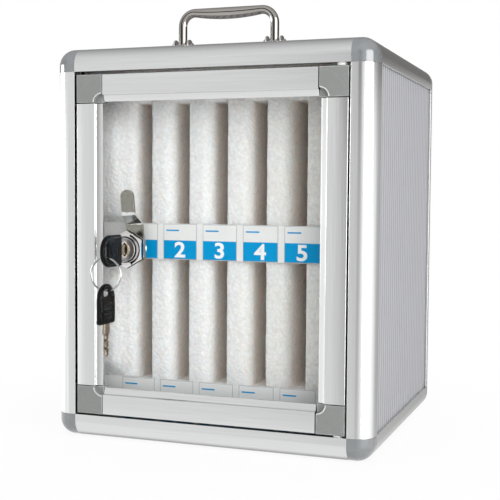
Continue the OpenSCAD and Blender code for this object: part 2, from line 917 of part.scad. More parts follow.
module handle_pins() {
  color(chrome_colour)
    in_case()
      for (side = [-1, 1])
        at_bracket(side)
          translate([0, 0, pivot_h])
            rotate([0, 90, 0]) {
              cylinder(r = pin_r, h = 2 * ear_out, center = true);
              for (end = [-1, 1])
                translate([0, 0, end * (ear_out + head_t / 2)])
                  cylinder(r = head_r, h = head_t, center = true);
            }
}

// The handle: two legs with eyes, two bends and a bar that swells below its middle
module carry_handle() {
  leg_l = handle_rise - bend_r;
  color(chrome_colour)
    in_case()
      translate([0, handle_y, pivot_z])
        difference() {
          union() {
            for (turn = [0, 180])
              rotate([0, 0, turn]) translate([handle_span / 2, 0, 0]) {
                cylinder(r = rod_r, h = leg_l + bend_lap);
                rotate([0, 90, 0]) cylinder(r = eye_r, h = 2 * rod_r, center = true);
                translate([-bend_r, 0, leg_l])
                  rotate([90, 0, 0])
                    rotate_extrude(angle = 90) translate([bend_r, 0]) circle(rod_r + bend_swell);
              }
            translate([-bar_l / 2 - bend_lap, 0, handle_rise])
              rotate([0, 90, 0]) cylinder(r = rod_r, h = bar_l + 2 * bend_lap);
            intersection() {
              translate([0, belly_t / 2, handle_rise - belly_sag + belly_arc])
                rotate([90, 0, 0]) cylinder(r = belly_arc, h = belly_t);
              translate([-bar_l / 2, -belly_t, handle_rise - 2 * rod_r])
                cube([bar_l, 2 * belly_t, 2 * rod_r]);
            }
          }
          rotate([0, 90, 0]) cylinder(r = pin_r + pin_fit, h = 2 * handle_span, center = true);
        }
}

front_post(0);  // front_left_post
front_post(1);  // front_right_post
rear_post(0);  // rear_left_post
rear_post(1);  // rear_right_post
front_rail(1);  // top_front_rail
front_rail(0);  // bottom_front_rail
rear_rail(1);  // top_rear_rail
rear_rail(0);  // bottom_rear_rail
side_rail(0, 1);  // top_left_rail
side_rail(1, 1);  // top_right_rail
side_rail(0, 0);  // bottom_left_rail
side_rail(1, 0);  // bottom_right_rail
ball_corner(0, 0, 1);  // corner_top_front_left
ball_corner(1, 0, 1);  // corner_top_front_right
ball_corner(0, 1, 1);  // corner_top_rear_left
ball_corner(1, 1, 1);  // corner_top_rear_right
ball_corner(0, 0, 0);  // corner_bottom_front_left
ball_corner(1, 0, 0);  // corner_bottom_front_right
ball_corner(0, 1, 0);  // corner_bottom_rear_left
ball_corner(1, 1, 0);  // corner_bottom_rear_right
side_panel(0);  // left_panel
side_panel(1);  // right_panel
rear_panel();
top_panel();
bottom_panel();
foam_slab(inner, slot_low);  // foam_base
foam_slab(tier_z, upper_z);  // foam_middle
foam_slab(foam_top_z, case_h - inner);  // foam_top
foam_back();
foam_dividers(slot_low, slot_low_h);  // foam_dividers_lower
foam_dividers(upper_z, slot_high_h);  // foam_dividers_upper
label_strip(tier_z + tier_t / 2);  // label_strip_upper
label_strip(slot_low - tier_t / 2);  // label_strip_lower
hinge_bushings();
hinge_pins();
door_stile(0);  // door_left_stile
door_stile(1);  // door_right_stile
door_rail(1);  // door_top_rail
door_rail(0);  // door_bottom_rail
door_corner_block(0, 1);  // door_corner_top_left
door_corner_block(1, 1);  // door_corner_top_right
door_corner_block(0, 0);  // door_corner_bottom_left
door_corner_block(1, 0);  // door_corner_bottom_right
window_pane();
lock_body();
lock_nut();
lock_plug();
lock_cam();
cam_screw();
key_grip();
key_blade();
key_ring();
spare_key_grip();
spare_key_blade();
handle_bracket(-1);  // handle_bracket_left
handle_bracket(1);  // handle_bracket_right
handle_rivets();
handle_pins();
carry_handle();
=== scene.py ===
"""Looks of a portable phone storage cabinet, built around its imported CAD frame.

Sizes are in millimetres from the front face of the case (x right, y to the rear, z up) and
reach Blender through Datum.at, which gives metres in the row frame.
"""

import json
import logging
import math
from dataclasses import dataclass
from enum import Enum
from typing import Callable, Optional, Sequence

import bmesh
import bpy
from mathutils import Matrix, Vector, noise

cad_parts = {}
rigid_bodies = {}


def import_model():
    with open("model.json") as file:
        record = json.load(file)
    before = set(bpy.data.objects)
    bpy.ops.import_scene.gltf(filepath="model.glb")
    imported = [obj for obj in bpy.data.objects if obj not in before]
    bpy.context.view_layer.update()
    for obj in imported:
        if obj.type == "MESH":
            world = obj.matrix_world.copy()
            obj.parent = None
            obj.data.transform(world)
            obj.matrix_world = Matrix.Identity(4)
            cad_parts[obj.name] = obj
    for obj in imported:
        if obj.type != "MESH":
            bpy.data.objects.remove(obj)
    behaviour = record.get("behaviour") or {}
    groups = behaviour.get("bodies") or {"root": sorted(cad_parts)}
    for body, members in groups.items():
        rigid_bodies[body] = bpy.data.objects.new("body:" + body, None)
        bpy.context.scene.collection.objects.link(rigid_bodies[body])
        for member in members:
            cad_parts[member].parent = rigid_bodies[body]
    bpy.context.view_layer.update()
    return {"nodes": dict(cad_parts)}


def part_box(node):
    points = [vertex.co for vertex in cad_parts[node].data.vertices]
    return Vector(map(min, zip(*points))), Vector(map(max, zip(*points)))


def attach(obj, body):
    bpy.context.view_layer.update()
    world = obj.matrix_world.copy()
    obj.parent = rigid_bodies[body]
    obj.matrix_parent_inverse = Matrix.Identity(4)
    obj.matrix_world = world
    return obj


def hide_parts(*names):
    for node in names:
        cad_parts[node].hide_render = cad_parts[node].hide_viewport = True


LOG = logging.getLogger("cabinet")
MM = 0.001
TO_REAR = Vector((0, 1, 0))
Pair = tuple[float, float]
Triple = tuple[float, float, float]
Nodes = dict[str, bpy.types.Object]
Socket = bpy.types.NodeSocket
Sockets = dict[str, bpy.types.NodeSocket]


class Grain(Enum):
    """Direction in which a surface was drawn, rolled or moulded, as a stretch of its grain."""

    ACROSS = (3.0, 160.0, 160.0)
    DEEP = (160.0, 3.0, 160.0)
    UPRIGHT = (160.0, 160.0, 3.0)
    EVEN = (90.0, 90.0, 90.0)


class Body(Enum):
    """CAD bodies that pieces ride on."""

    CASE = "case"
    DOOR = "door"
    PLUG = "lock_plug"
    KEY = "key"
    RING = "key_ring"
    SPARE = "spare_key"
    HANDLE = "handle"


class Slot(Enum):
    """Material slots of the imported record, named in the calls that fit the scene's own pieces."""

    FRAME = "aluminium_frame"
    CORNER = "corner_plastic"
    FOAM = "foam"
    CARD = "card"
    CHROME = "chrome"
    ZINC = "zinc_plate"
    GRIP = "key_plastic"
    BLADE = "key_metal"


class Reach(Enum):
    """What a lamp lights: matt surfaces, or only what shines."""

    MATT = "matt"
    GLOSS = "gloss"


class Wiring:
    """Short ways to add and join the nodes of one shader tree."""

    def __init__(self, tree: bpy.types.NodeTree) -> None:
        """Keeps the tree that the nodes go into."""
        self.tree = tree

    def add(self, kind: str, **settings: object) -> bpy.types.Node:
        """Adds a node.

        Args:
            kind: Blender's type name of the node.
            settings: Properties to set on the node.
        Returns:
            The new node.
        """
        node = self.tree.nodes.new(kind)
        for name, value in settings.items():
            setattr(node, name, value)
        return node

    def link(self, source: Socket, target: Socket) -> None:
        """Joins an output to an input."""
        self.tree.links.new(source, target)

    def feed(self, target: Socket, value: object) -> None:
        """Links a socket to an input, or sets a plain value on it."""
        if isinstance(value, bpy.types.NodeSocket):
            self.link(value, target)
        else:
            target.default_value = value

    def place(self) -> Socket:
        """Gives the place on the object, in metres."""
        return self.add("ShaderNodeTexCoord").outputs["Object"]

    def facing(self, name: str = "Normal") -> Socket:
        """Gives the direction that the surface faces."""
        return self.add("ShaderNodeNewGeometry").outputs[name]

    def split(self, vector: Socket) -> Sockets:
        """Takes a vector apart into X, Y and Z."""
        node = self.add("ShaderNodeSeparateXYZ")
        self.link(vector, node.inputs[0])
        return node.outputs

    def vector(self, operation: str, *values: object) -> Sockets:
        """Does one sum on vectors.

        Args:
            operation: Blender's name of the operation.
            values: Vectors or sockets, in the order of the node's inputs.
        Returns:
            The results, "Vector" and "Value".
        """
        node = self.add("ShaderNodeVectorMath", operation=operation)
        for target, value in zip(node.inputs, values):
            self.feed(target, value)
        return node.outputs

    def noise(self, place: Socket, scale: object, detail: float = 2.0) -> Sockets:
        """Adds a noise.

        Args:
            place: Where it is read.
            scale: Its scale, a value or a socket.
            detail: Its levels of detail.
        Returns:
            The results, "Fac" and "Color".
        """
        node = self.add("ShaderNodeTexNoise")
        for name, value in (("Vector", place), ("Scale", scale), ("Detail", detail)):
            self.feed(node.inputs[name], value)
        return node.outputs

    def math(self, operation: str, a: object, b: object = 0.0, clamp: bool = True) -> Socket:
        """Does one sum on two values or sockets.

        Args:
            operation: Blender's name of the operation.
            a: First value or socket.
            b: Second value or socket.
            clamp: True to keep the result between 0 and 1.
        Returns:
            The result's socket.
        """
        node = self.add("ShaderNodeMath", operation=operation, use_clamp=clamp)
        self.feed(node.inputs[0], a)
        self.feed(node.inputs[1], b)
        return node.outputs[0]

    def blend(self, factor: object, a: object, b: object, mode: str = "MIX") -> Socket:
        """Mixes two colours.

        Args:
            factor: Share of the second colour.
            a: First colour or socket.
            b: Second colour or socket.
            mode: Blender's name of the way to mix them.
        Returns:
            The mixed colour's socket.
        """
        node = self.add("ShaderNodeMix", data_type="RGBA", blend_type=mode)
        self.feed(node.inputs[0], factor)
        self.feed(node.inputs[6], (*a, 1.0) if isinstance(a, tuple) else a)
        self.feed(node.inputs[7], (*b, 1.0) if isinstance(b, tuple) else b)
        return node.outputs[2]

    def remap(
        self, value: object, low: float, high: float, to_low: float = 0.0, to_high: float = 1.0
    ) -> Socket:
        """Maps a range of values to another.

        Args:
            value: Value or socket to map.
            low: Start of the range.
            high: End of the range.
            to_low: Result at the start.
            to_high: Result at the end.
        Returns:
            The mapped value's socket.
        """
        node = self.add("ShaderNodeMapRange")
        self.feed(node.inputs["Value"], value)
        for name, number in zip(("From Min", "From Max", "To Min", "To Max"), (low, high, to_low, to_high)):
            node.inputs[name].default_value = number
        return node.outputs["Result"]

    def mix(self, factor: Socket, first: bpy.types.Node, second: bpy.types.Node) -> bpy.types.Node:
        """Mixes two shaders.

        Args:
            factor: Share of the second shader.
            first: Node of the first shader.
            second: Node of the second shader.
        Returns:
            The mixing node.
        """
        node = self.add("ShaderNodeMixShader")
        for target, source in zip(node.inputs, (factor, first.outputs[0], second.outputs[0])):
            self.link(source, target)
        return node


class Effects:
    """Shader node groups that several finishes share, each built once."""

    _made: dict[str, bpy.types.NodeTree] = {}

    @classmethod
    def _group(
        cls, name: str, inputs: dict[str, object], outputs: Sequence[str],
        wire: Callable[[Wiring, Sockets, Sockets], None],
    ) -> bpy.types.NodeTree:
        """Makes a group on first use.

        Args:
            name: Name of the group.
            inputs: Default value of each named input, a number or a vector.
            outputs: Names of the outputs.
            wire: Fills the group from its wiring, input sockets and output sockets.
        Returns:
            The group's tree.
        """
        if name not in cls._made:
            tree = bpy.data.node_groups.new(name, "ShaderNodeTree")
            for key, value in inputs.items():
                kind = "NodeSocketVector" if isinstance(value, tuple) else "NodeSocketFloat"
                tree.interface.new_socket(key, in_out="INPUT", socket_type=kind).default_value = value
            for key in outputs:
                tree.interface.new_socket(key, in_out="OUTPUT", socket_type="NodeSocketFloat")
            entry = tree.nodes.new("NodeGroupInput")
            leave = tree.nodes.new("NodeGroupOutput")
            wire(Wiring(tree), entry.outputs, leave.inputs)
            cls._made[name] = tree
        return cls._made[name]

    @classmethod
    def place(cls, wiring: Wiring, tree: bpy.types.NodeTree, **values: object) -> Sockets:
        """Puts a group into a material.

        Args:
            wiring: Wiring of the material.
            tree: The group.
            values: Value of each input, by its name in small letters.
        Returns:
            The group's outputs.
        """
        node = wiring.add("ShaderNodeGroup", node_tree=tree)
        for name, value in values.items():
            node.inputs[name.capitalize()].default_value = value
        return node.outputs

    @classmethod
    def grain(cls) -> bpy.types.NodeTree:
        """Fine streaks or mottle, stretched along one direction."""
        spread, broad_scale, fine_detail = (0.3, 0.7), 22.0, 4.0

        def wire(w: Wiring, given: Sockets, out: Sockets) -> None:
            """Two scales of noise on the stretched place."""
            place = w.place()
            stretched = w.vector("MULTIPLY", place, given["Stretch"])["Vector"]
            fine = w.noise(stretched, given["Scale"], fine_detail)
            w.link(w.remap(fine["Fac"], *spread), out["Streak"])
            w.link(w.remap(w.noise(place, broad_scale)["Fac"], *spread), out["Mottle"])

        inputs = {"Stretch": (1.0, 1.0, 1.0), "Scale": 8.0}
        return cls._group("drawn grain", inputs, ("Streak", "Mottle"), wire)

    @classmethod
    def wear(cls) -> bpy.types.NodeTree:
        """A mask along the edges, broken up as handling leaves it: real wear, and on the door corners a
        painted highlight.
        """
        turned, gaps, gap_scale = (0.99, 0.86), (0.3, 0.65, 0.25, 1.0), 180.0

        def wire(w: Wiring, given: Sockets, out: Sockets) -> None:
            """Where a rounded normal leaves the true one, times noise."""
            rounded = w.add("ShaderNodeBevel", samples=4)
            w.link(given["Radius"], rounded.inputs["Radius"])
            turn = w.vector("DOT_PRODUCT", rounded.outputs[0], w.facing())["Value"]
            edge_patches = w.remap(w.noise(w.place(), gap_scale)["Fac"], *gaps)
            w.link(w.math("MULTIPLY", w.remap(turn, *turned), edge_patches), out["Mask"])

        return cls._group("edge wear and highlight", {"Radius": 0.0006}, ("Mask",), wire)

    @classmethod
    def dust(cls) -> bpy.types.NodeTree:
        """A thin film that settles on what faces up."""
        upward, patches, patch_scale, patch_detail = (0.35, 1.0), (0.3, 0.75, 0.2, 1.0), 60.0, 6.0

        def wire(w: Wiring, given: Sockets, out: Sockets) -> None:
            """The upward share of the normal, times noise."""
            up = w.remap(w.split(w.facing())["Z"], *upward)
            film = w.remap(w.noise(w.place(), patch_scale, patch_detail)["Fac"], *patches)
            w.link(w.math("MULTIPLY", w.math("MULTIPLY", up, film), given["Amount"]), out["Mask"])

        return cls._group("settled dust", {"Amount": 0.1}, ("Mask",), wire)

    @classmethod
    def crevice(cls) -> bpy.types.NodeTree:
        """A mask for painted shade in joints and gaps, where little light comes in."""
        closing = (0.58, 0.12)

        def wire(w: Wiring, given: Sockets, out: Sockets) -> None:
            """How much of the near surroundings is closed off."""
            open_share = w.add("ShaderNodeAmbientOcclusion", samples=6)
            w.link(given["Reach"], open_share.inputs["Distance"])
            w.link(w.remap(open_share.outputs["AO"], *closing), out["Mask"])

        return cls._group("painted joint shade", {"Reach": 0.006}, ("Mask",), wire)

    @classmethod
    def beads(cls) -> bpy.types.NodeTree:
        """Pressed foam beads with the shallow seams between them."""
        crown, warp_scale, warp = (0.1, 0.75, 1.0, 0.0), 240.0, (0.002, 0.002, 0.002)

        def wire(w: Wiring, given: Sockets, out: Sockets) -> None:
            """Cells of two kinds, warped a little so that no two match."""
            place = w.place()
            shifted = w.vector("MULTIPLY_ADD", w.noise(place, warp_scale)["Color"], warp, place)["Vector"]
            cells = {}
            for feature in ("SMOOTH_F1", "F1"):
                cell = w.add("ShaderNodeTexVoronoi", feature=feature)
                w.link(shifted, cell.inputs["Vector"])
                w.link(given["Scale"], cell.inputs["Scale"])
                cells[feature] = cell.outputs
            w.link(w.remap(cells["SMOOTH_F1"]["Distance"], *crown), out["Height"])
            w.link(cells["F1"]["Color"], out["Tint"])

        return cls._group("foam beads", {"Scale": 560.0}, ("Height", "Tint"), wire)


def blank(name: str) -> tuple[bpy.types.Material, Wiring, bpy.types.Node]:
    """Makes a new material.

    Args:
        name: Name of the material.
    Returns:
        The material, its wiring and its Principled node.
    """
    made = bpy.data.materials.new(name)
    made.use_nodes = True
    return made, Wiring(made.node_tree), made.node_tree.nodes["Principled BSDF"]


COAT_ROUGHNESS = 0.12
SCATTER_REACH = (0.02, 0.0145, 0.012)
ROUGH_SPREAD = (0.88, 1.14)
GROOVE_TURN = (0.98, 0.88)
SIDE_SHADE_RIGHTWARD = (-0.01, 0.05)
DEPTH_SHADE_REARWARD = (-0.0555, -0.040)
SEAM_SHADE = 0.2
BEAD_TINT = 0.8
DUST_COLOUR = (0.72, 0.70, 0.67)
DUST_ROUGHNESS = 0.3


@dataclass(frozen=True)
class Finish:
    """One surface finish: colour, gloss, the small faults that the real one shows, and painted shade and
    highlights where set.
    """

    name: str
    colour: Triple
    roughness: float
    metallic: float = 0.0
    grain: Grain = Grain.EVEN
    streak: float = 0.05
    mottle: float = 0.04
    bump: float = 0.0
    # Edge mask with its colour and reach: real wear on most finishes, a painted highlight on the door
    # corners.
    wear: float = 0.0
    worn_colour: Triple = (0.9, 0.9, 0.9)
    wear_reach: float = 0.0006
    dust: float = 0.0
    beads: float = 0.0
    coat: float = 0.0
    subsurface: float = 0.0
    specular: float = 0.5
    # Painted shade in joints and gaps, from ambient occlusion, and its colour.
    grime: float = 0.0
    grime_colour: Triple = (0.03, 0.03, 0.032)
    # Painted shade on the slanted sides of grooves, and its colour.
    groove: float = 0.0
    groove_colour: Triple = (0.29, 0.29, 0.312)
    # Painted shade on the foam: a warm tint deep in the slots and a darker, warmer tone to the right.
    deep: float = 0.0
    deep_colour: Triple = (1.0, 0.93, 0.875)
    aged_colour: Triple = (0.95, 0.915, 0.88)

    def material(self) -> bpy.types.Material:
        """Makes the material on first use.

        Returns:
            The material, the same one at each call.
        """
        known = bpy.data.materials.get(self.name)
        if known:
            return known
        made, wiring, shader = blank(self.name)
        for name, value in (
            ("Metallic", self.metallic), ("Coat Weight", self.coat), ("Coat Roughness", COAT_ROUGHNESS),
            ("Specular IOR Level", self.specular), ("Subsurface Weight", self.subsurface),
            ("Subsurface Radius", SCATTER_REACH), ("Subsurface Scale", 1.0),
        ):
            shader.inputs[name].default_value = value
        self._paint(wiring, shader)
        return made

    def _paint(self, wiring: Wiring, shader: bpy.types.Node) -> None:
        """Wires the colour, roughness and bump of the finish.

        Args:
            wiring: Wiring of the material.
            shader: Its Principled node.
        """
        grain = Effects.place(wiring, Effects.grain(), stretch=self.grain.value)
        dark = tuple(c * (1.0 - 2.0 * self.streak) for c in self.colour)
        dull = tuple(c * (1.0 - 2.0 * self.mottle) for c in self.colour)
        colour = wiring.blend(grain["Streak"], self.colour, dark)
        colour = wiring.blend(wiring.math("MULTIPLY", grain["Mottle"], 0.5), colour, dull)
        rough = wiring.remap(grain["Streak"], 0.0, 1.0, *(self.roughness * share for share in ROUGH_SPREAD))
        height = grain["Streak"]
        # Painted shade in the grooves.
        if self.groove:
            colour = self._grooved(wiring, colour)
        # Painted shade on the foam: darker to the right, warmer deep in the slots.
        if self.deep:
            colour = self._aged(wiring, colour)
        if self.beads:
            beads = Effects.place(wiring, Effects.beads())
            height = beads["Height"]
            seam = (1.0 - SEAM_SHADE * self.beads,) * 3
            tint = wiring.math("MULTIPLY", beads["Tint"], BEAD_TINT * self.beads)
            for share in (wiring.math("SUBTRACT", 1.0, height), tint):
                colour = wiring.blend(share, colour, seam, "MULTIPLY")
        # Painted shade: darkens joints and gaps where ambient occlusion finds little open space.
        if self.grime:
            shade_mask = Effects.place(wiring, Effects.crevice())["Mask"]
            colour = wiring.blend(wiring.math("MULTIPLY", shade_mask, self.grime), colour, self.grime_colour)
        # Edge mask: real wear on most finishes, a painted highlight on the door corners.
        if self.wear:
            edge_patches = Effects.place(wiring, Effects.wear(), radius=self.wear_reach)["Mask"]
            colour = wiring.blend(wiring.math("MULTIPLY", edge_patches, self.wear), colour, self.worn_colour)
        if self.dust:
            film = Effects.place(wiring, Effects.dust(), amount=self.dust)["Mask"]
            colour = wiring.blend(film, colour, DUST_COLOUR)
            rough = wiring.math("ADD", rough, wiring.math("MULTIPLY", film, DUST_ROUGHNESS))
        wiring.link(colour, shader.inputs["Base Color"])
        wiring.link(rough, shader.inputs["Roughness"])
        if self.bump:
            bump = wiring.add("ShaderNodeBump")
            bump.inputs["Strength"].default_value = 1.0
            bump.inputs["Distance"].default_value = self.bump
            wiring.link(height, bump.inputs["Height"])
            wiring.link(bump.outputs[0], shader.inputs["Normal"])

    def _grooved(self, wiring: Wiring, colour: Socket) -> Socket:
        """Paints shade on the slanted sides of grooves.

        Args:
            wiring: Wiring of the material.
            colour: Colour so far.
        Returns:
            The new colour.
        """
        x, y, z = wiring.split(wiring.vector("ABSOLUTE", wiring.facing("True Normal"))["Vector"])
        square = wiring.math("MAXIMUM", wiring.math("MAXIMUM", x, y), z)
        return wiring.blend(wiring.remap(square, *GROOVE_TURN, 0.0, self.groove), colour, self.groove_colour)

    def _aged(self, wiring: Wiring, colour: Socket) -> Socket:
        """Paints shade on the foam: darker and warmer towards the right, warmer in the depth of the slots.

        Args:
            wiring: Wiring of the material.
            colour: Colour so far.
        Returns:
            The new colour.
        """
        place = wiring.split(wiring.place())
        colour = wiring.blend(wiring.remap(place["X"], *SIDE_SHADE_RIGHTWARD), colour, self.aged_colour)
        inside = wiring.remap(place["Y"], *DEPTH_SHADE_REARWARD, 0.0, self.deep)
        return wiring.blend(inside, colour, self.deep_colour)


@dataclass(frozen=True)
class ClearSheet:
    """Clear acrylic that lets light and shadows through."""

    name: str = "clear acrylic"
    tint: Triple = (0.97, 0.98, 0.98)
    bending: float = 1.04
    smear: float = 0.012

    def material(self) -> bpy.types.Material:
        """Makes the material on first use.

        Returns:
            The material, the same one at each call.
        """
        known = bpy.data.materials.get(self.name)
        if known:
            return known
        made, wiring, shader = blank(self.name)
        tint = (*self.tint, 1.0)
        for name, value in (("Base Color", tint), ("Transmission Weight", 1.0), ("IOR", self.bending)):
            shader.inputs[name].default_value = value
        grain = Effects.place(wiring, Effects.grain(), stretch=Grain.EVEN.value)
        wiring.link(wiring.remap(grain["Mottle"], 0.0, 1.0, 0.0, self.smear), shader.inputs["Roughness"])
        path = wiring.add("ShaderNodeLightPath").outputs
        through = wiring.add("ShaderNodeBsdfTransparent")
        through.inputs["Color"].default_value = tint
        passing = wiring.math("MAXIMUM", path["Is Shadow Ray"], path["Is Diffuse Ray"])
        mixed = wiring.mix(passing, shader, through)
        wiring.link(mixed.outputs[0], made.node_tree.nodes["Material Output"].inputs["Surface"])
        return made


def drawn_aluminium(grain: Grain) -> Finish:
    """Silver anodised aluminium with the fine lines of its drawing direction, and painted shade in its
    joints.
    """
    return Finish(
        f"drawn aluminium {grain.name.lower()}", (0.82, 0.825, 0.825), 0.22, 1.0, grain, 0.03, 0.02, 0.000004,
        wear=0.35, worn_colour=(0.95, 0.95, 0.95), dust=0.04, grime=0.85,
    )


CORNER_GREY = Finish("corner plastic", (0.215, 0.229, 0.237), 0.16, streak=0.05, bump=0.000004, wear=0.3,
                     worn_colour=(0.55, 0.56, 0.57), dust=0.04, coat=1.0, specular=0.9)
# The door corners' light edge mask is a painted highlight along their edges.
DOOR_CORNER_GREY = Finish("door corner plastic", (0.255, 0.263, 0.257), 0.38, streak=0.05, bump=0.00001,
                          wear=0.9, worn_colour=(0.74, 0.75, 0.74), wear_reach=0.0009, dust=0.03)
DOOR_RIDGE = Finish("door corner ridge", (0.28, 0.288, 0.282), 0.34, streak=0.05)
# Light bead finish along the door corners' notch, a painted highlight.
NOTCH_RIM_HIGHLIGHT = Finish("corner rim", (0.66, 0.67, 0.66), 0.3, streak=0.04, coat=0.5)
# The panel's grooves carry painted shade on their slanted sides.
PANEL_GREY = Finish("ribbed panel", (0.46, 0.46, 0.488), 0.42, grain=Grain.UPRIGHT, streak=0.03, bump=0.00001,
                    dust=0.1, groove=0.9)
# deep paints shade on the foam, in the slots and towards the right.
WHITE_FOAM = Finish("white foam", (0.98, 0.955, 0.945), 0.85, streak=0.02, mottle=0.02, bump=0.0005,
                    beads=0.7, subsurface=0.5, specular=0.35, deep=1.0)
WHITE_CARD = Finish("white card", (0.83, 0.82, 0.805), 0.55, streak=0.015, mottle=0.02, specular=0.2)
CARD_EDGE = Finish("card edge", (0.42, 0.44, 0.46), 0.6, specular=0.2)
BLUE_INK = Finish("blue ink", (0.0, 0.32, 0.67), 0.5, streak=0.04, specular=0.1)
WHITE_INK = Finish("white ink", (0.92, 0.93, 0.93), 0.5, streak=0.01, specular=0.2)
WHITE_NYLON = Finish("white nylon", (0.85, 0.85, 0.83), 0.4, streak=0.03)
BRIGHT_STEEL = Finish("bright steel", (0.66, 0.66, 0.66), 0.16, 1.0, streak=0.06)
RING_STEEL = Finish("ring steel", (0.52, 0.52, 0.51), 0.12, 1.0, streak=0.05)
CHROME = Finish("polished chrome", (0.78, 0.78, 0.78), 0.06, 1.0, streak=0.02)
# The lock's chrome carries painted shade in its joints and gaps.
LOCK_CHROME = Finish("lock chrome", (0.82, 0.80, 0.79), 0.05, 1.0, streak=0.02, grime=0.9)
HANDLE_CHROME = Finish("handle chrome", (0.47, 0.445, 0.415), 0.07, 1.0, streak=0.03)
# The plug carries painted shade in its joints besides its real wear.
PLUG_NICKEL = Finish("brushed plug", (0.44, 0.44, 0.45), 0.3, 1.0, streak=0.06, wear=0.6, grime=0.8)
KEYWAY_BRASS = Finish("keyway brass", (0.85, 0.80, 0.66), 0.2, 1.0, streak=0.06, wear=0.5)
# Near-black for painted shade: the keyway's painted shadow and the handle's painted dark reflection line.
PAINTED_DARK = Finish("painted shadow black", (0.012, 0.011, 0.010), 0.5, streak=0.1, specular=0.1)
ZINC = Finish("zinc plate", (0.36, 0.345, 0.315), 0.3, 1.0, streak=0.08, mottle=0.08, wear=0.9)
CAM_ZINC = Finish("cam zinc", (0.30, 0.285, 0.25), 0.24, 1.0, Grain.UPRIGHT, 0.06, 0.06, wear=0.6)
# A light copy of the cam's zinc for its bend, a painted highlight.
CAM_BEND_HIGHLIGHT = Finish("cam bend painted highlight", (0.80, 0.80, 0.79), 0.16, 1.0, Grain.UPRIGHT, 0.06, 0.04)
# Black for the rubber gasket, and for the ring around the bezel, a painted shadow.
BLACK_RUBBER_AND_SHADOW = Finish("black rubber and painted shadow", (0.012, 0.012, 0.013), 0.55, streak=0.1, specular=0.15)
NICKEL = Finish("nickel blade", (0.42, 0.36, 0.29), 0.25, 1.0, Grain.UPRIGHT, 0.08, wear=0.5)
# A dark copy of the blade's nickel where the milled groove lies, painted shade.
MILLED_GROOVE_SHADE = Finish("painted milled groove shade", (0.16, 0.13, 0.10), 0.35, 1.0, Grain.UPRIGHT, 0.1)
BLACK_GRIP = Finish("black grip", (0.004, 0.004, 0.0045), 0.3, streak=0.1, specular=0.12)
# Ribs and border a little lighter than the grip, a painted highlight, and glossier.
GRIP_RIB_HIGHLIGHT = Finish("grip rib painted highlight", (0.02, 0.02, 0.021), 0.22, streak=0.1, specular=0.6)


@dataclass(frozen=True)
class Datum:
    """The front face of the case in the row frame."""

    front: float

    def at(self, x: float, y: float, z: float) -> Vector:
        """Takes a place in millimetres from the case's front to metres in the row frame."""
        return Vector((x * MM, y * MM + self.front, z * MM))


def arc(cx: float, cy: float, r: float, start: float, end: float, steps: int) -> list[Pair]:
    """Points on a circle, from one angle to another in degrees."""
    angles = [math.radians(start + (end - start) / steps * i) for i in range(steps + 1)]
    return [(cx + r * math.cos(angle), cy + r * math.sin(angle)) for angle in angles]


def share_of(value: float, low: float, high: float) -> float:
    """How far a value is from one end of a range to the other, kept between 0 and 1."""
    return min(max((value - low) / (high - low), 0.0), 1.0)


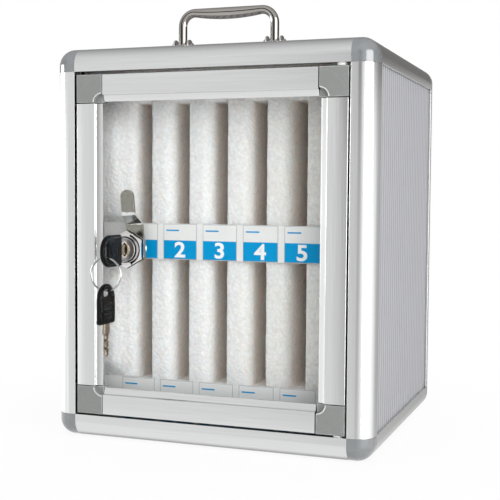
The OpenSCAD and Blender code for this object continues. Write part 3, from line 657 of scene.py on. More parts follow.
class Shop:
    """Mesh tools that the sub-assemblies share."""

    weld_reach: float = 0.000002
    flat_angle: float = 0.6

    @staticmethod
    def piece(name: str, mesh: bmesh.types.BMesh, sharp: float = 40.0) -> bpy.types.Object:
        """Turns a bmesh into an object with smooth faces and sharp edges.

        Args:
            name: Name of the piece.
            mesh: The mesh, freed afterwards.
            sharp: Angle in degrees from which an edge is sharp.
        Returns:
            The linked object.
        """
        bmesh.ops.recalc_face_normals(mesh, faces=mesh.faces[:])
        for face in mesh.faces:
            face.smooth = True
        for edge in mesh.edges:
            edge.smooth = len(edge.link_faces) == 2 and edge.calc_face_angle(0.0) < math.radians(sharp)
        data = bpy.data.meshes.new(name)
        mesh.to_mesh(data)
        mesh.free()
        made = bpy.data.objects.new(name, data)
        bpy.context.scene.collection.objects.link(made)
        return made

    @staticmethod
    def fit(made: bpy.types.Object, body: Body, slot: Slot, finish: Finish, *nodes: str) -> None:
        """Gives a piece its finish and body, and hides the CAD nodes that it stands for.

        Args:
            made: The piece.
            body: CAD body that it rides on.
            slot: Material slot of the record; not used.
            finish: Its finish.
            nodes: CAD nodes that it replaces.
        """
        made.data.materials.append(finish.material())
        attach(made, body.value)
        if nodes:
            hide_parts(*nodes)
        LOG.info("piece %s on %s", made.name, body.value)

    @staticmethod
    def dress(
        node: bpy.types.Object, finish: Finish | ClearSheet, edge: float = 0.0, steps: int = 2,
        crisp: bool = False,
    ) -> None:
        """Gives a CAD node a finish and softens its edges with modifiers.

        Args:
            node: The CAD node's object.
            finish: Its finish.
            edge: Rounding of its edges in millimetres, or 0 for none.
            steps: Faces across a rounded edge.
            crisp: True for a node whose small facets stay flat.
        """
        node.data.materials.clear()
        node.data.materials.append(finish.material())
        node.modifiers.new("weld", "WELD").merge_threshold = Shop.weld_reach
        flat = node.modifiers.new("flat faces", "DECIMATE")
        flat.decimate_type = "DISSOLVE"
        flat.angle_limit = math.radians(Shop.flat_angle)
        if edge:
            Shop.soften(node, edge, steps)
        if not crisp:
            node.modifiers.new("normals", "WEIGHTED_NORMAL").keep_sharp = False
        LOG.info("node %s in %s", node.name, finish.name)

    @staticmethod
    def soften(made: bpy.types.Object, edge: float, steps: int = 3, angle: float = 35.0) -> None:
        """Rounds the sharp edges of an object.

        Args:
            made: The object.
            edge: Rounding in millimetres.
            steps: Faces across a rounded edge.
            angle: Angle in degrees from which an edge is rounded.
        """
        bevel = made.modifiers.new("soft edges", "BEVEL")
        bevel.width = edge * MM
        bevel.segments = steps
        bevel.limit_method = "ANGLE"
        bevel.angle_limit = math.radians(angle)
        bevel.harden_normals = False

    @staticmethod
    def move(mesh: bmesh.types.BMesh, way: Callable[[float, float, float], Sequence[float]]) -> None:
        """Moves each point of a mesh to where a function of its place puts it."""
        for vert in mesh.verts:
            vert.co = way(*vert.co)

    @staticmethod
    def skin(
        mesh: bmesh.types.BMesh, rings: Sequence[list[bmesh.types.BMVert]], closed: bool = False
    ) -> None:
        """Joins rings of points by faces.

        Args:
            mesh: The mesh that the points are in.
            rings: The rings in order, with as many points each.
            closed: True to join the last ring to the first, or else both ends get a cap.
        """
        for low, high in list(zip(rings, rings[1:])) + ([(rings[-1], rings[0])] if closed else []):
            for i in range(len(low)):
                k = (i + 1) % len(low)
                mesh.faces.new((low[i], low[k], high[k], high[i]))
        if not closed:
            mesh.faces.new(rings[0])
            mesh.faces.new(rings[-1])

    @staticmethod
    def tube(
        path: Sequence[Vector], across: Sequence[Pair], side: Vector, sides: int = 24, closed: bool = False
    ) -> bmesh.types.BMesh:
        """Sweeps an ellipse along a path that lies in one plane.

        Args:
            path: Points of the path in metres.
            across: Half sizes of the ellipse at each point, in the plane and out of it, in millimetres.
            side: Direction out of the plane.
            sides: Points around the ellipse.
            closed: True for a path that meets itself.
        Returns:
            The swept mesh.
        """
        mesh = bmesh.new()
        rings = []
        last = len(path) - 1
        for i, point in enumerate(path):
            before = path[i - 1] if i or closed else path[0]
            after = path[(i + 1) % len(path)] if i < last or closed else path[last]
            inward = side.cross((after - before).normalized()).normalized()
            a, b = across[i]
            rings.append([
                mesh.verts.new(point + inward * a * MM * math.cos(t) + side * b * MM * math.sin(t))
                for t in (2 * math.pi * k / sides for k in range(sides))
            ])
        Shop.skin(mesh, rings, closed)
        return mesh

    @staticmethod
    def join(*parts: bmesh.types.BMesh) -> bmesh.types.BMesh:
        """Puts several meshes into one, and frees them."""
        whole = bmesh.new()
        for part in parts:
            data = bpy.data.meshes.new("part")
            part.to_mesh(data)
            part.free()
            whole.from_mesh(data)
            bpy.data.meshes.remove(data)
        return whole

    @staticmethod
    def plate(
        outline: Sequence[Pair], thickness: float, hole: Optional[Sequence[Pair]] = None
    ) -> bmesh.types.BMesh:
        """Makes a flat plate, with a hole if asked, centred on z = 0.

        Args:
            outline: Outer points in order.
            thickness: Thickness of the plate.
            hole: Inner points in order.
        Returns:
            The mesh, in millimetres.
        """
        mesh = bmesh.new()
        loops = [outline] + ([hole] if hole else [])
        for z in (-thickness / 2, thickness / 2):
            edges = []
            for loop in loops:
                ring = [mesh.verts.new((x, y, z)) for x, y in loop]
                edges += [mesh.edges.new((ring[i], ring[(i + 1) % len(ring)])) for i in range(len(ring))]
            if hole:
                bmesh.ops.bridge_loops(mesh, edges=edges)
            else:
                bmesh.ops.contextual_create(mesh, geom=edges)
        mesh.verts.ensure_lookup_table()
        half = len(mesh.verts) // 2
        start = 0
        for loop in loops:
            n = len(loop)
            for i in range(n):
                a, b = start + i, start + (i + 1) % n
                mesh.faces.new((mesh.verts[a], mesh.verts[b], mesh.verts[b + half], mesh.verts[a + half]))
            start += n
        return mesh


@dataclass
class EdgeFrame:
    """Aluminium posts and rails, ball corners and ribbed panels: CAD nodes with their finishes."""

    nodes: Nodes
    edge: float = 0.6
    corner_edge: float = 0.45
    bushing_edge: float = 0.2

    def dress(self) -> None:
        """Gives each frame node its finish and soft edges."""
        for name, node in self.nodes.items():
            if name.endswith("_post"):
                Shop.dress(node, drawn_aluminium(Grain.UPRIGHT), self.edge, 3)
            elif name.endswith("_rail") and not name.startswith("door"):
                deep = "left" in name or "right" in name
                Shop.dress(node, drawn_aluminium(Grain.DEEP if deep else Grain.ACROSS), self.edge)
            elif name.startswith("corner"):
                Shop.dress(node, CORNER_GREY, self.corner_edge, 3)
            elif name.endswith("_panel"):
                Shop.dress(node, PANEL_GREY, crisp=True)
        Shop.dress(self.nodes["hinge_bushings"], WHITE_NYLON, self.bushing_edge)


@dataclass
class WindowDoor:
    """Door bars with a rounded lip towards the pane, moulded door corners, pane and hinge pins."""

    nodes: Nodes
    flat: float = 13.1
    lip_start: float = 1.9
    lip_slope: Pair = (0.24, 0.45)
    lip_trim: float = 0.7
    lip_steps: int = 8
    nose: float = 0.38
    groove: Triple = (13.5, 4.9, 7.7)
    rear_set: float = 2.6
    joint_gap: float = 0.65
    bar_sharp: float = 30.0
    corner_edge: float = 0.45
    ridge_radius: float = 16.4
    ridge: Pair = (0.22, 0.09)
    ridge_sweep: Pair = (4.0, 86.0)
    notch_radius: float = 6.0
    rim: Pair = (0.42, 0.3)
    rim_sweep: Pair = (2.0, 88.0)
    trim_sunk: float = 0.05

    def build(self) -> None:
        """Builds the bars and the trim of the corners, and dresses the rest."""
        for name in ("door_left_stile", "door_right_stile", "door_top_rail", "door_bottom_rail"):
            self._bar(name)
        for row in ("top", "bottom"):
            for side in ("left", "right"):
                self._corner(row, side)
        Shop.dress(self.nodes["hinge_pins"], BRIGHT_STEEL)
        Shop.dress(self.nodes["window_pane"], ClearSheet())

    def _profile(self, width: float, depth: float) -> list[Pair]:
        """Section of a bar, from its outer edge to the pane, and from its face to its back.

        Args:
            width: Width of the bar.
            depth: Depth of the bar.
        Returns:
            Points of the section in millimetres.
        """
        n = self.nose
        end = width - self.lip_trim
        first, last = self.lip_slope
        reach = end - self.flat - n
        lip = [
            (self.flat + n + reach * t, self.lip_start + reach * (first * t + (last - first) * t * t / 2))
            for t in (i / self.lip_steps for i in range(self.lip_steps + 1))
        ]
        inner, near, far = self.groove
        front = arc(n, n, n, 180, 270, 4) + arc(self.flat - n, n, n, 270, 360, 4)
        seat = [(end, near), (inner, near), (inner, far), (end - self.rear_set, far)]
        return front + lip + seat + [(end - self.rear_set, depth), (0.0, depth)]

    def _bar(self, name: str) -> None:
        """Builds one bar in the place of its CAD node, a hair short of the corners.

        Args:
            name: Name of the node.
        """
        low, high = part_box(name)
        size = high - low
        upright = name.endswith("stile")
        span, length = (size.x, size.z) if upright else (size.z, size.x)
        section = self._profile(span / MM, size.y / MM)
        flipped = "right" in name or "top" in name
        gap = self.joint_gap * MM
        mesh = bmesh.new()
        rings = []
        for along in (gap, length - gap):
            ring = []
            for u, d in section:
                side = span - u * MM if flipped else u * MM
                x, z = (side, along) if upright else (along, side)
                ring.append(mesh.verts.new(low + Vector((x, d * MM, z))))
            rings.append(ring)
        Shop.skin(mesh, rings)
        made = Shop.piece(f"{name}_drawn", mesh, self.bar_sharp)
        finish = drawn_aluminium(Grain.UPRIGHT if upright else Grain.ACROSS)
        Shop.fit(made, Body.DOOR, Slot.FRAME, finish, name)

    def _corner(self, row: str, side: str) -> None:
        """Dresses one door corner and adds its raised ridge and a light rim along its notch, a painted
        highlight.

        Args:
            row: "top" or "bottom".
            side: "left" or "right".
        """
        name = f"door_corner_{row}_{side}"
        Shop.dress(self.nodes[name], DOOR_CORNER_GREY, self.corner_edge, 3)
        stile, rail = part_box(f"door_{side}_stile"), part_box(f"door_{row}_rail")
        x = stile[1].x if side == "left" else stile[0].x
        z = rail[0].z if row == "top" else rail[1].z
        out_x, out_z = (-1 if side == "left" else 1), (1 if row == "top" else -1)
        y = stile[0].y + self.trim_sunk * MM
        # The notch rim's light finish is a painted highlight.
        for part, radius, across, sweep, finish in (
            ("ridge", self.ridge_radius, self.ridge, self.ridge_sweep, DOOR_RIDGE),
            ("rim", self.notch_radius, self.rim, self.rim_sweep, NOTCH_RIM_HIGHLIGHT),
        ):
            curve = arc(0, 0, radius, *sweep, 20)
            path = [Vector((x + out_x * u * MM, y, z + out_z * v * MM)) for u, v in curve]
            mesh = Shop.tube(path, [across] * len(path), TO_REAR, 12)
            Shop.fit(Shop.piece(f"{name}_{part}", mesh), Body.DOOR, Slot.CORNER, finish)


@dataclass
class FoamInsert:
    """One block of pressed foam with two tiers of upright phone slots."""

    slot_width: float = 11.0
    slot_pitch: float = 26.7
    slots: int = 5
    tiers: tuple[Pair, ...] = ((37.2, 119.5), (140.3, 220.5))
    soft_side: Pair = (6.5, 9.0)
    cut_side: Pair = (1.2, 1.6)
    soft_end: Pair = (3.5, 6.0)
    step: float = 1.6
    round_steps: int = 8
    wall_line: float = 0.3
    wall_slack: float = 0.2
    least_gap: float = 0.02
    wave: float = 0.22
    wave_scale: Triple = (0.05, 0.11, 0.4)
    ripple: float = 0.7
    straight_edge: float = 4.0
    lump: float = 0.09
    lump_scale: float = 0.35
    lump_depth: float = 8.0
    sharp: float = 55.0
    shoulder: Pair = (-75.0, -65.0)
    bulge: tuple[Pair, ...] = (
        (39.5, 0.0), (48.0, 5.0), (104.0, 5.0), (115.0, 0.0), (143.0, 0.0), (147.0, 3.2), (160.0, 3.4),
        (200.0, 4.4), (220.0, 0.0),
    )

    def build(self) -> None:
        """Builds the block: a sheet that dips into each slot, closed by sides and a back."""
        low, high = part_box("foam_dividers_lower")
        floor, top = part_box("foam_base")[0].z / MM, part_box("foam_top")[1].z / MM
        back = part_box("foam_back")[1].y
        depth = (high.y - low.y) / MM
        middles = [(i - (self.slots - 1) / 2) * self.slot_pitch for i in range(self.slots)]
        half = self.slot_width / 2
        across = [(m - half, m + half) for m in middles]
        xs = self._lines(low.x / MM, high.x / MM, across, self.soft_side[0], self.cut_side[0])
        zs = self._lines(floor, top, self.tiers, self.soft_end[0], self.soft_end[0])
        mesh = bmesh.new()
        sheet = []
        for x in xs:
            in_x = self._dip(x, across, self.soft_side, self.cut_side, depth)
            column = []
            for z in zs:
                dip = min(in_x, self._dip(z, self.tiers, self.soft_end, self.soft_end, depth))
                column.append(mesh.verts.new(self._spot(x, dip, z, low, high)))
            sheet.append(column)
        for here, there in zip(sheet, sheet[1:]):
            for k in range(len(zs) - 1):
                mesh.faces.new((here[k], there[k], there[k + 1], here[k + 1]))
        border = [edge for edge in mesh.edges if len(edge.link_faces) == 1]
        swept = bmesh.ops.extrude_edge_only(mesh, edges=border)["geom"]
        for vert in (g for g in swept if isinstance(g, bmesh.types.BMVert)):
            vert.co.y = back
        rear = [g for g in swept if isinstance(g, bmesh.types.BMEdge) and len(g.link_faces) == 1]
        bmesh.ops.contextual_create(mesh, geom=rear)
        made = Shop.piece("foam_insert", mesh, self.sharp)
        names = ["foam_base", "foam_middle", "foam_top", "foam_back", "foam_dividers_lower"]
        Shop.fit(made, Body.CASE, Slot.FOAM, WHITE_FOAM, *names, "foam_dividers_upper")

    def _lines(
        self, low: float, high: float, spans: Sequence[Pair], before: float, after: float
    ) -> list[float]:
        """Places of the grid lines in one direction.

        Args:
            low: Start of the block.
            high: End of the block.
            spans: Start and end of each slot.
            before: Rounding ahead of a slot.
            after: Rounding behind a slot.
        Returns:
            The places in order.
        """
        quarter = [1 - math.sin(t * math.pi / (2 * self.round_steps)) for t in range(self.round_steps + 1)]
        lines = {low, high}
        for start, end in spans:
            lines |= {start - before * share for share in quarter}
            lines |= {start + self.wall_line, (start + end) / 2, end - self.wall_line}
            lines |= {end + after * share for share in quarter}
        ordered = sorted(lines)
        filled = [ordered[0]]
        for here in ordered[1:]:
            gap = here - filled[-1]
            count = max(1, round(gap / self.step))
            if gap > self.least_gap:
                filled += [filled[-1] + gap * (i + 1) / count for i in range(count)]
        return filled

    def _dip(self, at: float, spans: Sequence[Pair], before: Pair, after: Pair, depth: float) -> float:
        """Depth of the sheet at one place, seen along one direction.

        Args:
            at: The place.
            spans: Start and end of each slot.
            before: Reach and depth of the rounding ahead of a slot.
            after: Reach and depth of the rounding behind a slot.
            depth: Depth of a slot.
        Returns:
            The depth in millimetres.
        """
        slack = self.wall_slack
        for start, end in spans:
            if start + slack < at < end - slack:
                return depth
            for gone, (reach, drop) in ((start - at, before), (at - end, after)):
                if -slack <= gone < reach:
                    t = 1.0 - max(gone, 0.0) / reach
                    return drop * (1.0 - math.sqrt(max(0.0, 1.0 - t * t)))
        return 0.0

    def _swell(self, x: float, z: float) -> float:
        """How far the foam swells forward beside the first slots, clear of the cam and the labels.

        Args:
            x: Place to the right.
            z: Height.
        Returns:
            The swell in millimetres.
        """
        start, end = self.shoulder
        share = share_of(x, end, start)
        reach = 0.0
        for (low, near), (high, far) in zip(self.bulge, self.bulge[1:]):
            if low <= z <= high:
                reach = near + (far - near) * (z - low) / (high - low)
        return reach * share * share * (3 - 2 * share)

    def _spot(self, x: float, dip: float, z: float, low: Vector, high: Vector) -> Vector:
        """Place of one point of the sheet, with the wave and lumps of real foam.

        Args:
            x: Place to the right.
            dip: Depth of the sheet.
            z: Height.
            low: Low corner of the slotted foam.
            high: High corner of the slotted foam.
        Returns:
            The point in metres.
        """
        wide, slow, quick = self.wave_scale
        wave = noise.noise(Vector((x * wide, 0.0, z * slow)))
        wave += self.ripple * noise.noise(Vector((x * wide, 7.0, z * quick)))
        lump = 0.5 + 0.5 * noise.noise(Vector((x * self.lump_scale, 3.0, z * self.lump_scale)))
        inside = abs(x) < abs(low.x) / MM - self.straight_edge
        raised = (self.lump * lump if dip < self.lump_depth else 0.0) - self._swell(x, z)
        y = low.y + (dip + raised) * MM
        return Vector(((x + (self.wave * wave if inside else 0.0)) * MM, min(y, high.y), z * MM))


@dataclass
class SlotLabels:
    """White label strips with one numbered card in front of each slot."""

    datum: Datum
    nodes: Nodes
    slots: int = 5
    card_width: float = 22.9
    card_pitch: float = 27.8
    card_shift: Pair = (1.06, -1.2)
    card_height: float = 23.0
    card_border: Pair = (0.7, 0.6)
    band_height: float = 12.0
    rule: Pair = (9.0, 0.9)
    rule_inset: Pair = (6.2, 4.2)
    numeral: float = 13.87
    numeral_weight: float = 0.35
    numeral_width: float = 1.14
    numeral_relief: float = 0.06
    thickness: float = 0.12

    def build(self) -> None:
        """Builds the cards of both tiers, numbered from the upper left."""
        for tier, node in enumerate(("label_strip_upper", "label_strip_lower")):
            Shop.dress(self.nodes[node], WHITE_CARD)
            low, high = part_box(node)
            face = (low.y - self.datum.front) / MM
            middle = (low.z + high.z) / 2 / MM
            for place in range(self.slots):
                x = (place - (self.slots - 1) / 2) * self.card_pitch + self.card_shift[tier]
                self._card(tier * self.slots + place + 1, x, face, middle)

    def _flat(self, name: str, x: float, z: float, y: float, size: Pair, finish: Finish) -> None:
        """Adds one thin rectangle in front of the strip.

        Args:
            name: Name of the piece.
            x: Middle of it, to the right.
            z: Middle of it, up.
            y: Its rear face.
            size: Width and height.
            finish: Its finish.
        """
        w, h = size
        outline = [(x + a * w / 2, z + b * h / 2) for a, b in ((-1, -1), (1, -1), (1, 1), (-1, 1))]
        mesh = Shop.plate(outline, self.thickness)
        Shop.move(mesh, lambda u, v, d: self.datum.at(u, y - self.thickness / 2 + d, v))
        Shop.fit(Shop.piece(name, mesh), Body.CASE, Slot.CARD, finish)

    def _card(self, number: int, x: float, face: float, middle: float) -> None:
        """Builds one card: edge, card, blue band, rule line and numeral.

        Args:
            number: The slot's number.
            x: Middle of the card.
            face: Front of the strip.
            middle: Middle height of the strip.
        """
        w, h = self.card_width, self.card_height
        beside, above = self.card_border
        self._flat(f"card_edge_{number}", x, middle, face, (w + beside, h), CARD_EDGE)
        face -= self.thickness
        self._flat(f"card_{number}", x, middle, face, (w, h - above), WHITE_CARD)
        face -= self.thickness
        band = middle - h / 2 + above / 2 + self.band_height / 2
        self._flat(f"card_band_{number}", x, band, face, (w, self.band_height), BLUE_INK)
        right, down = self.rule_inset
        self._flat(f"card_rule_{number}", x - w / 2 + right, middle + h / 2 - down, face, self.rule, BLUE_INK)
        self._numeral(number, x, band, face - self.thickness)

    def _numeral(self, number: int, x: float, z: float, face: float) -> None:
        """Writes a slot's number on its band.

        Args:
            number: The number.
            x: Its middle.
            z: Its middle height.
            face: Front of the band.
        """
        text = bpy.data.curves.new(f"numeral_{number}", "FONT")
        text.body = str(number)
        text.size = self.numeral * MM
        text.offset = self.numeral_weight * MM
        text.extrude = self.numeral_relief * MM
        text.align_x, text.align_y = "CENTER", "CENTER"
        holder = bpy.data.objects.new("numeral_text", text)
        bpy.context.scene.collection.objects.link(holder)
        data = bpy.data.meshes.new_from_object(holder.evaluated_get(bpy.context.evaluated_depsgraph_get()))
        bpy.data.objects.remove(holder)
        made = bpy.data.objects.new(f"numeral_{number}", data)
        bpy.context.scene.collection.objects.link(made)
        heights = [vert.co.y for vert in data.vertices]
        level = Matrix.Translation((0, -(min(heights) + max(heights)) / 2, 0))
        wide = Matrix.Scale(self.numeral_width, 4, (1, 0, 0))
        upright = Matrix.Rotation(math.radians(90.0), 4, "X") @ wide @ level
        data.transform(Matrix.Translation(self.datum.at(x, face, z)) @ upright)
        data.materials.clear()
        Shop.fit(made, Body.CASE, Slot.CARD, WHITE_INK)


@dataclass
class CamLock:
    """Lock body with six-sided flange, nut, plug with keyway, cranked cam and screw."""

    datum: Datum
    nodes: Nodes
    axis: Pair = (-56.0, 125.1)
    steps: int = 120
    bezel: Pair = (7.3, 7.8)
    bezel_front: float = -1.0
    bezel_lip: float = 0.5
    seat: float = 2.2
    groove: Pair = (8.5, 0.6)
    hex_radius: float = 12.3
    hex_front: float = 2.0
    hex_back: float = 5.5
    hex_slope: float = 0.6
    hex_turned: float = 0.5
    hex_rim: float = 0.3
    barrel: float = 8.0
    barrel_end: float = 16.5
    thread: float = 1.0
    thread_depth: float = 0.5
    thread_shape: Triple = (0.05, 0.45, 0.6)
    bore: float = 6.2
    body_sharp: float = 24.0
    gasket: Pair = (0.25, 0.9)
    gasket_slack: float = 0.2
    gasket_set: float = 0.5
    keyway: Triple = (4.2, 9.2, 0.44)
    escutcheon: Triple = (7.0, 11.4, 0.3)
    face_sunk: float = 0.02
    face_edge: float = 0.12
    cam_lean: float = 5.5
    cam_planes: Pair = (17.65, 10.7)
    cam_bends: Pair = (16.2, 22.8)
    cam_ease: Pair = (0.06, 0.94)
    cam_reach: float = 38.7
    cam_widths: Pair = (12.2, 9.4)
    cam_least: float = 0.6
    cam_thickness: float = 1.7
    cam_steps: int = 90
    cam_sharp: float = 22.0
    cam_edge: float = 0.25
    cam_bright: Pair = (-0.5, 0.9)
    stamps: tuple[Triple, ...] = ((1.6, 0.55, 0.28), (3.2, 0.5, -0.2))
    stamp_reach: float = 0.9
    front_row: tuple[float, ...] = (-1.0, -0.86, -0.4, 0.0, 0.4, 0.86, 1.0)
    rear_row: Triple = (1.0, 0.0, -1.0)

    def build(self) -> None:
        """Builds the body with its black rings, the keyway's eye and painted shadow, and the cam, and dresses
        the rest.
        """
        self._body()
        self._seals()
        self._face()
        self._cam()
        Shop.dress(self.nodes["lock_plug"], PLUG_NICKEL, 0.2, 3)
        Shop.dress(self.nodes["lock_nut"], ZINC, 0.4)
        Shop.dress(self.nodes["cam_screw"], BRIGHT_STEEL, 0.4)

    def _settle(self, mesh: bmesh.types.BMesh) -> None:
        """Moves a mesh from the lock's own axis, in millimetres, to its place."""
        Shop.move(mesh, lambda x, y, z: self.datum.at(x + self.axis[0], y, z + self.axis[1]))

    def _hex(self, angle: float) -> float:
        """Distance from the axis to the side of the flange at an angle in radians."""
        sixth = math.pi / 3
        off = (angle + sixth / 2) % sixth - sixth / 2
        return self.hex_radius * math.cos(sixth / 2) / math.cos(off)

    def _lip(self) -> list[Pair]:
        """Section of the bezel and the groove around it, as radius and depth."""
        inner, outer = self.bezel
        middle, half = (inner + outer) / 2, (outer - inner) / 2
        edge = self.bezel_front + self.bezel_lip
        crown = [
            (middle - half * math.cos(t), edge - self.bezel_lip * math.sin(t))
            for t in (math.pi * i / 8 for i in range(1, 8))
        ]
        wide, deep = self.groove
        start = [(inner, self.bezel_front + self.seat), (inner, edge)]
        return start + crown + [(outer, edge), (outer, deep), (wide, deep), (wide, self.hex_front)]

    def _threads(self) -> list[Pair]:
        """Section of the threaded barrel and its bore, as radius and depth."""
        root = self.barrel - self.thread_depth
        rise, crest, fall = self.thread_shape
        section = []
        for i in range(int((self.barrel_end - self.hex_back) / self.thread)):
            at = self.hex_back + i * self.thread
            section += [(root, at + rise), (self.barrel, at + crest), (self.barrel, at + fall)]
        end = self.barrel_end
        return section + [(root, end), (self.bore, end), (self.bore, self.bezel_front + self.seat)]

    def _body(self) -> None:
        """Turns the body: bezel, flange with a turned chamfer, and threaded barrel."""
        flat = self.hex_radius * math.cos(math.pi / 6) - self.hex_turned
        lip, threads = self._lip(), self._threads()
        back, rim = self.hex_back, self.hex_rim
        mesh = bmesh.new()
        rings = []
        for a in (2 * math.pi * k / self.steps for k in range(self.steps)):
            edge = self._hex(a)
            chamfer = self.hex_front + (edge - flat) * self.hex_slope
            flange = [(flat, self.hex_front), (edge, chamfer), (edge, back - rim), (edge - rim, back)]
            section = lip + flange + threads
            rings.append([mesh.verts.new((r * math.cos(a), y, r * math.sin(a))) for r, y in section])
        Shop.skin(mesh, rings, True)
        self._settle(mesh)
        made = Shop.piece("lock_housing", mesh, self.body_sharp)
        Shop.fit(made, Body.DOOR, Slot.CHROME, LOCK_CHROME, "lock_body")

    def _seals(self) -> None:
        """Adds a black ring in the groove around the bezel, a painted shadow, and the black gasket under the
        flange.
        """
        outer, (wide, deep) = self.bezel[1], self.groove
        half = (wide - outer) / 2
        x, z = self.axis
        # The ring in the groove is black, a painted shadow.
        path = [self.datum.at(x + u, deep, z + v) for u, v in arc(0, 0, (outer + wide) / 2, 0, 360, 72)[:-1]]
        ring = Shop.tube(path, [(half, half)] * len(path), TO_REAR, 12, True)
        Shop.fit(Shop.piece("bezel_painted_shadow", ring), Body.DOOR, Slot.GRIP, BLACK_RUBBER_AND_SHADOW)
        proud, thickness = self.gasket
        radii = self.hex_radius + proud, self.barrel + self.gasket_slack
        rim, hole = (arc(0, 0, radius, 30, 390, 6)[:-1] for radius in radii)
        gasket = Shop.plate(rim, thickness, hole)
        Shop.move(gasket, lambda u, v, d: (u, self.hex_back - self.gasket_set + d, v))
        self._settle(gasket)
        Shop.fit(Shop.piece("flange_gasket", gasket), Body.DOOR, Slot.GRIP, BLACK_RUBBER_AND_SHADOW)

    @staticmethod
    def _lens(width: float, height: float) -> list[Pair]:
        """Outline of an eye shape, from two arcs."""
        radius = (height * height / 4 + width * width / 4) / width
        half = math.degrees(math.asin(height / 2 / radius))
        shift = radius - width / 2
        right = arc(-shift, 0, radius, -half, half, 14)[:-1]
        return right + arc(shift, 0, radius, 180 - half, 180 + half, 14)[:-1]

    def _face(self) -> None:
        """Adds the brass eye around the keyway and a near-black lens over the keyway, a painted shadow, to
        the plug's face.
        """
        front = (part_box("lock_plug")[0].y - self.datum.front) / MM
        # The keyway's mouth is a near-black lens, a painted shadow.
        for name, size, finish in (
            ("keyway_eye", self.escutcheon, KEYWAY_BRASS), ("keyway_painted_shadow", self.keyway, PAINTED_DARK)
        ):
            width, height, thickness = size
            middle = front - thickness / 2 + self.face_sunk
            mesh = Shop.plate(self._lens(width, height), thickness)
            Shop.move(mesh, lambda u, v, d: (u, middle + d, v))
            self._settle(mesh)
            made = Shop.piece(name, mesh)
            Shop.soften(made, self.face_edge, 2)
            Shop.fit(made, Body.PLUG, Slot.CHROME, finish)

    def _station(self, z: float) -> tuple[float, float, float, float]:
        """Measures the cam at one height.

        Args:
            z: Height from the lock's axis.
        Returns:
            The height, the depth, the width and the height of a stamp.
        """
        root, tip = self.cam_planes
        low, high = self.cam_bends
        wide, slim = self.cam_widths
        t = share_of(z, low, high)
        width = wide + (slim - wide) * t
        for gone in (z + wide / 2, self.cam_reach - z):
            if gone < width / 2:
                width *= math.sqrt(max(0.0, 1 - (1 - 2 * gone / width) ** 2)) if gone > 0 else 0.0
        stamp = sum(rise * (abs(z - high - at) < half) for at, half, rise in self.stamps)
        return z, root + (tip - root) * share_of(t, *self.cam_ease), max(width, self.cam_least), stamp

    def _cam(self) -> None:
        """Bends the cam from a strip with a round tip and two stamped lines below the tip."""
        start, last = -self.cam_widths[0] / 2, self.cam_steps
        stations = [self._station(start + (self.cam_reach - start) * i / last) for i in range(last + 1)]
        mesh = bmesh.new()
        rows = []
        half = self.cam_thickness / 2
        for i, (z, y, width, stamp) in enumerate(stations):
            before, after = stations[max(i - 1, 0)], stations[min(i + 1, last)]
            along = Vector((0, after[1] - before[1], after[0] - before[0])).normalized()
            out = Vector((0, -along.z, along.y))
            row = [(u, half + (stamp if abs(u) < self.stamp_reach else 0.0)) for u in self.front_row]
            row += [(u, -half) for u in self.rear_row]
            rows.append([mesh.verts.new(Vector((width / 2 * u, y, z)) + out * raised) for u, raised in row])
        Shop.skin(mesh, rows)
        lean = Matrix.Rotation(math.radians(-self.cam_lean), 3, "Y")
        bmesh.ops.rotate(mesh, cent=(0, 0, 0), matrix=lean, verts=mesh.verts[:])
        self._settle(mesh)
        made = Shop.piece("cranked_cam", mesh, self.cam_sharp)
        Shop.soften(made, self.cam_edge, 2, 60.0)
        Shop.fit(made, Body.PLUG, Slot.ZINC, CAM_ZINC, "lock_cam")
        # The faces of the bend get the light copy of the zinc, a painted highlight.
        made.data.materials.append(CAM_BEND_HIGHLIGHT.material())
        low, high = (bend + more for bend, more in zip(self.cam_bends, self.cam_bright))
        for face in made.data.polygons:
            face.material_index = int(low < face.center.z / MM - self.axis[1] < high)


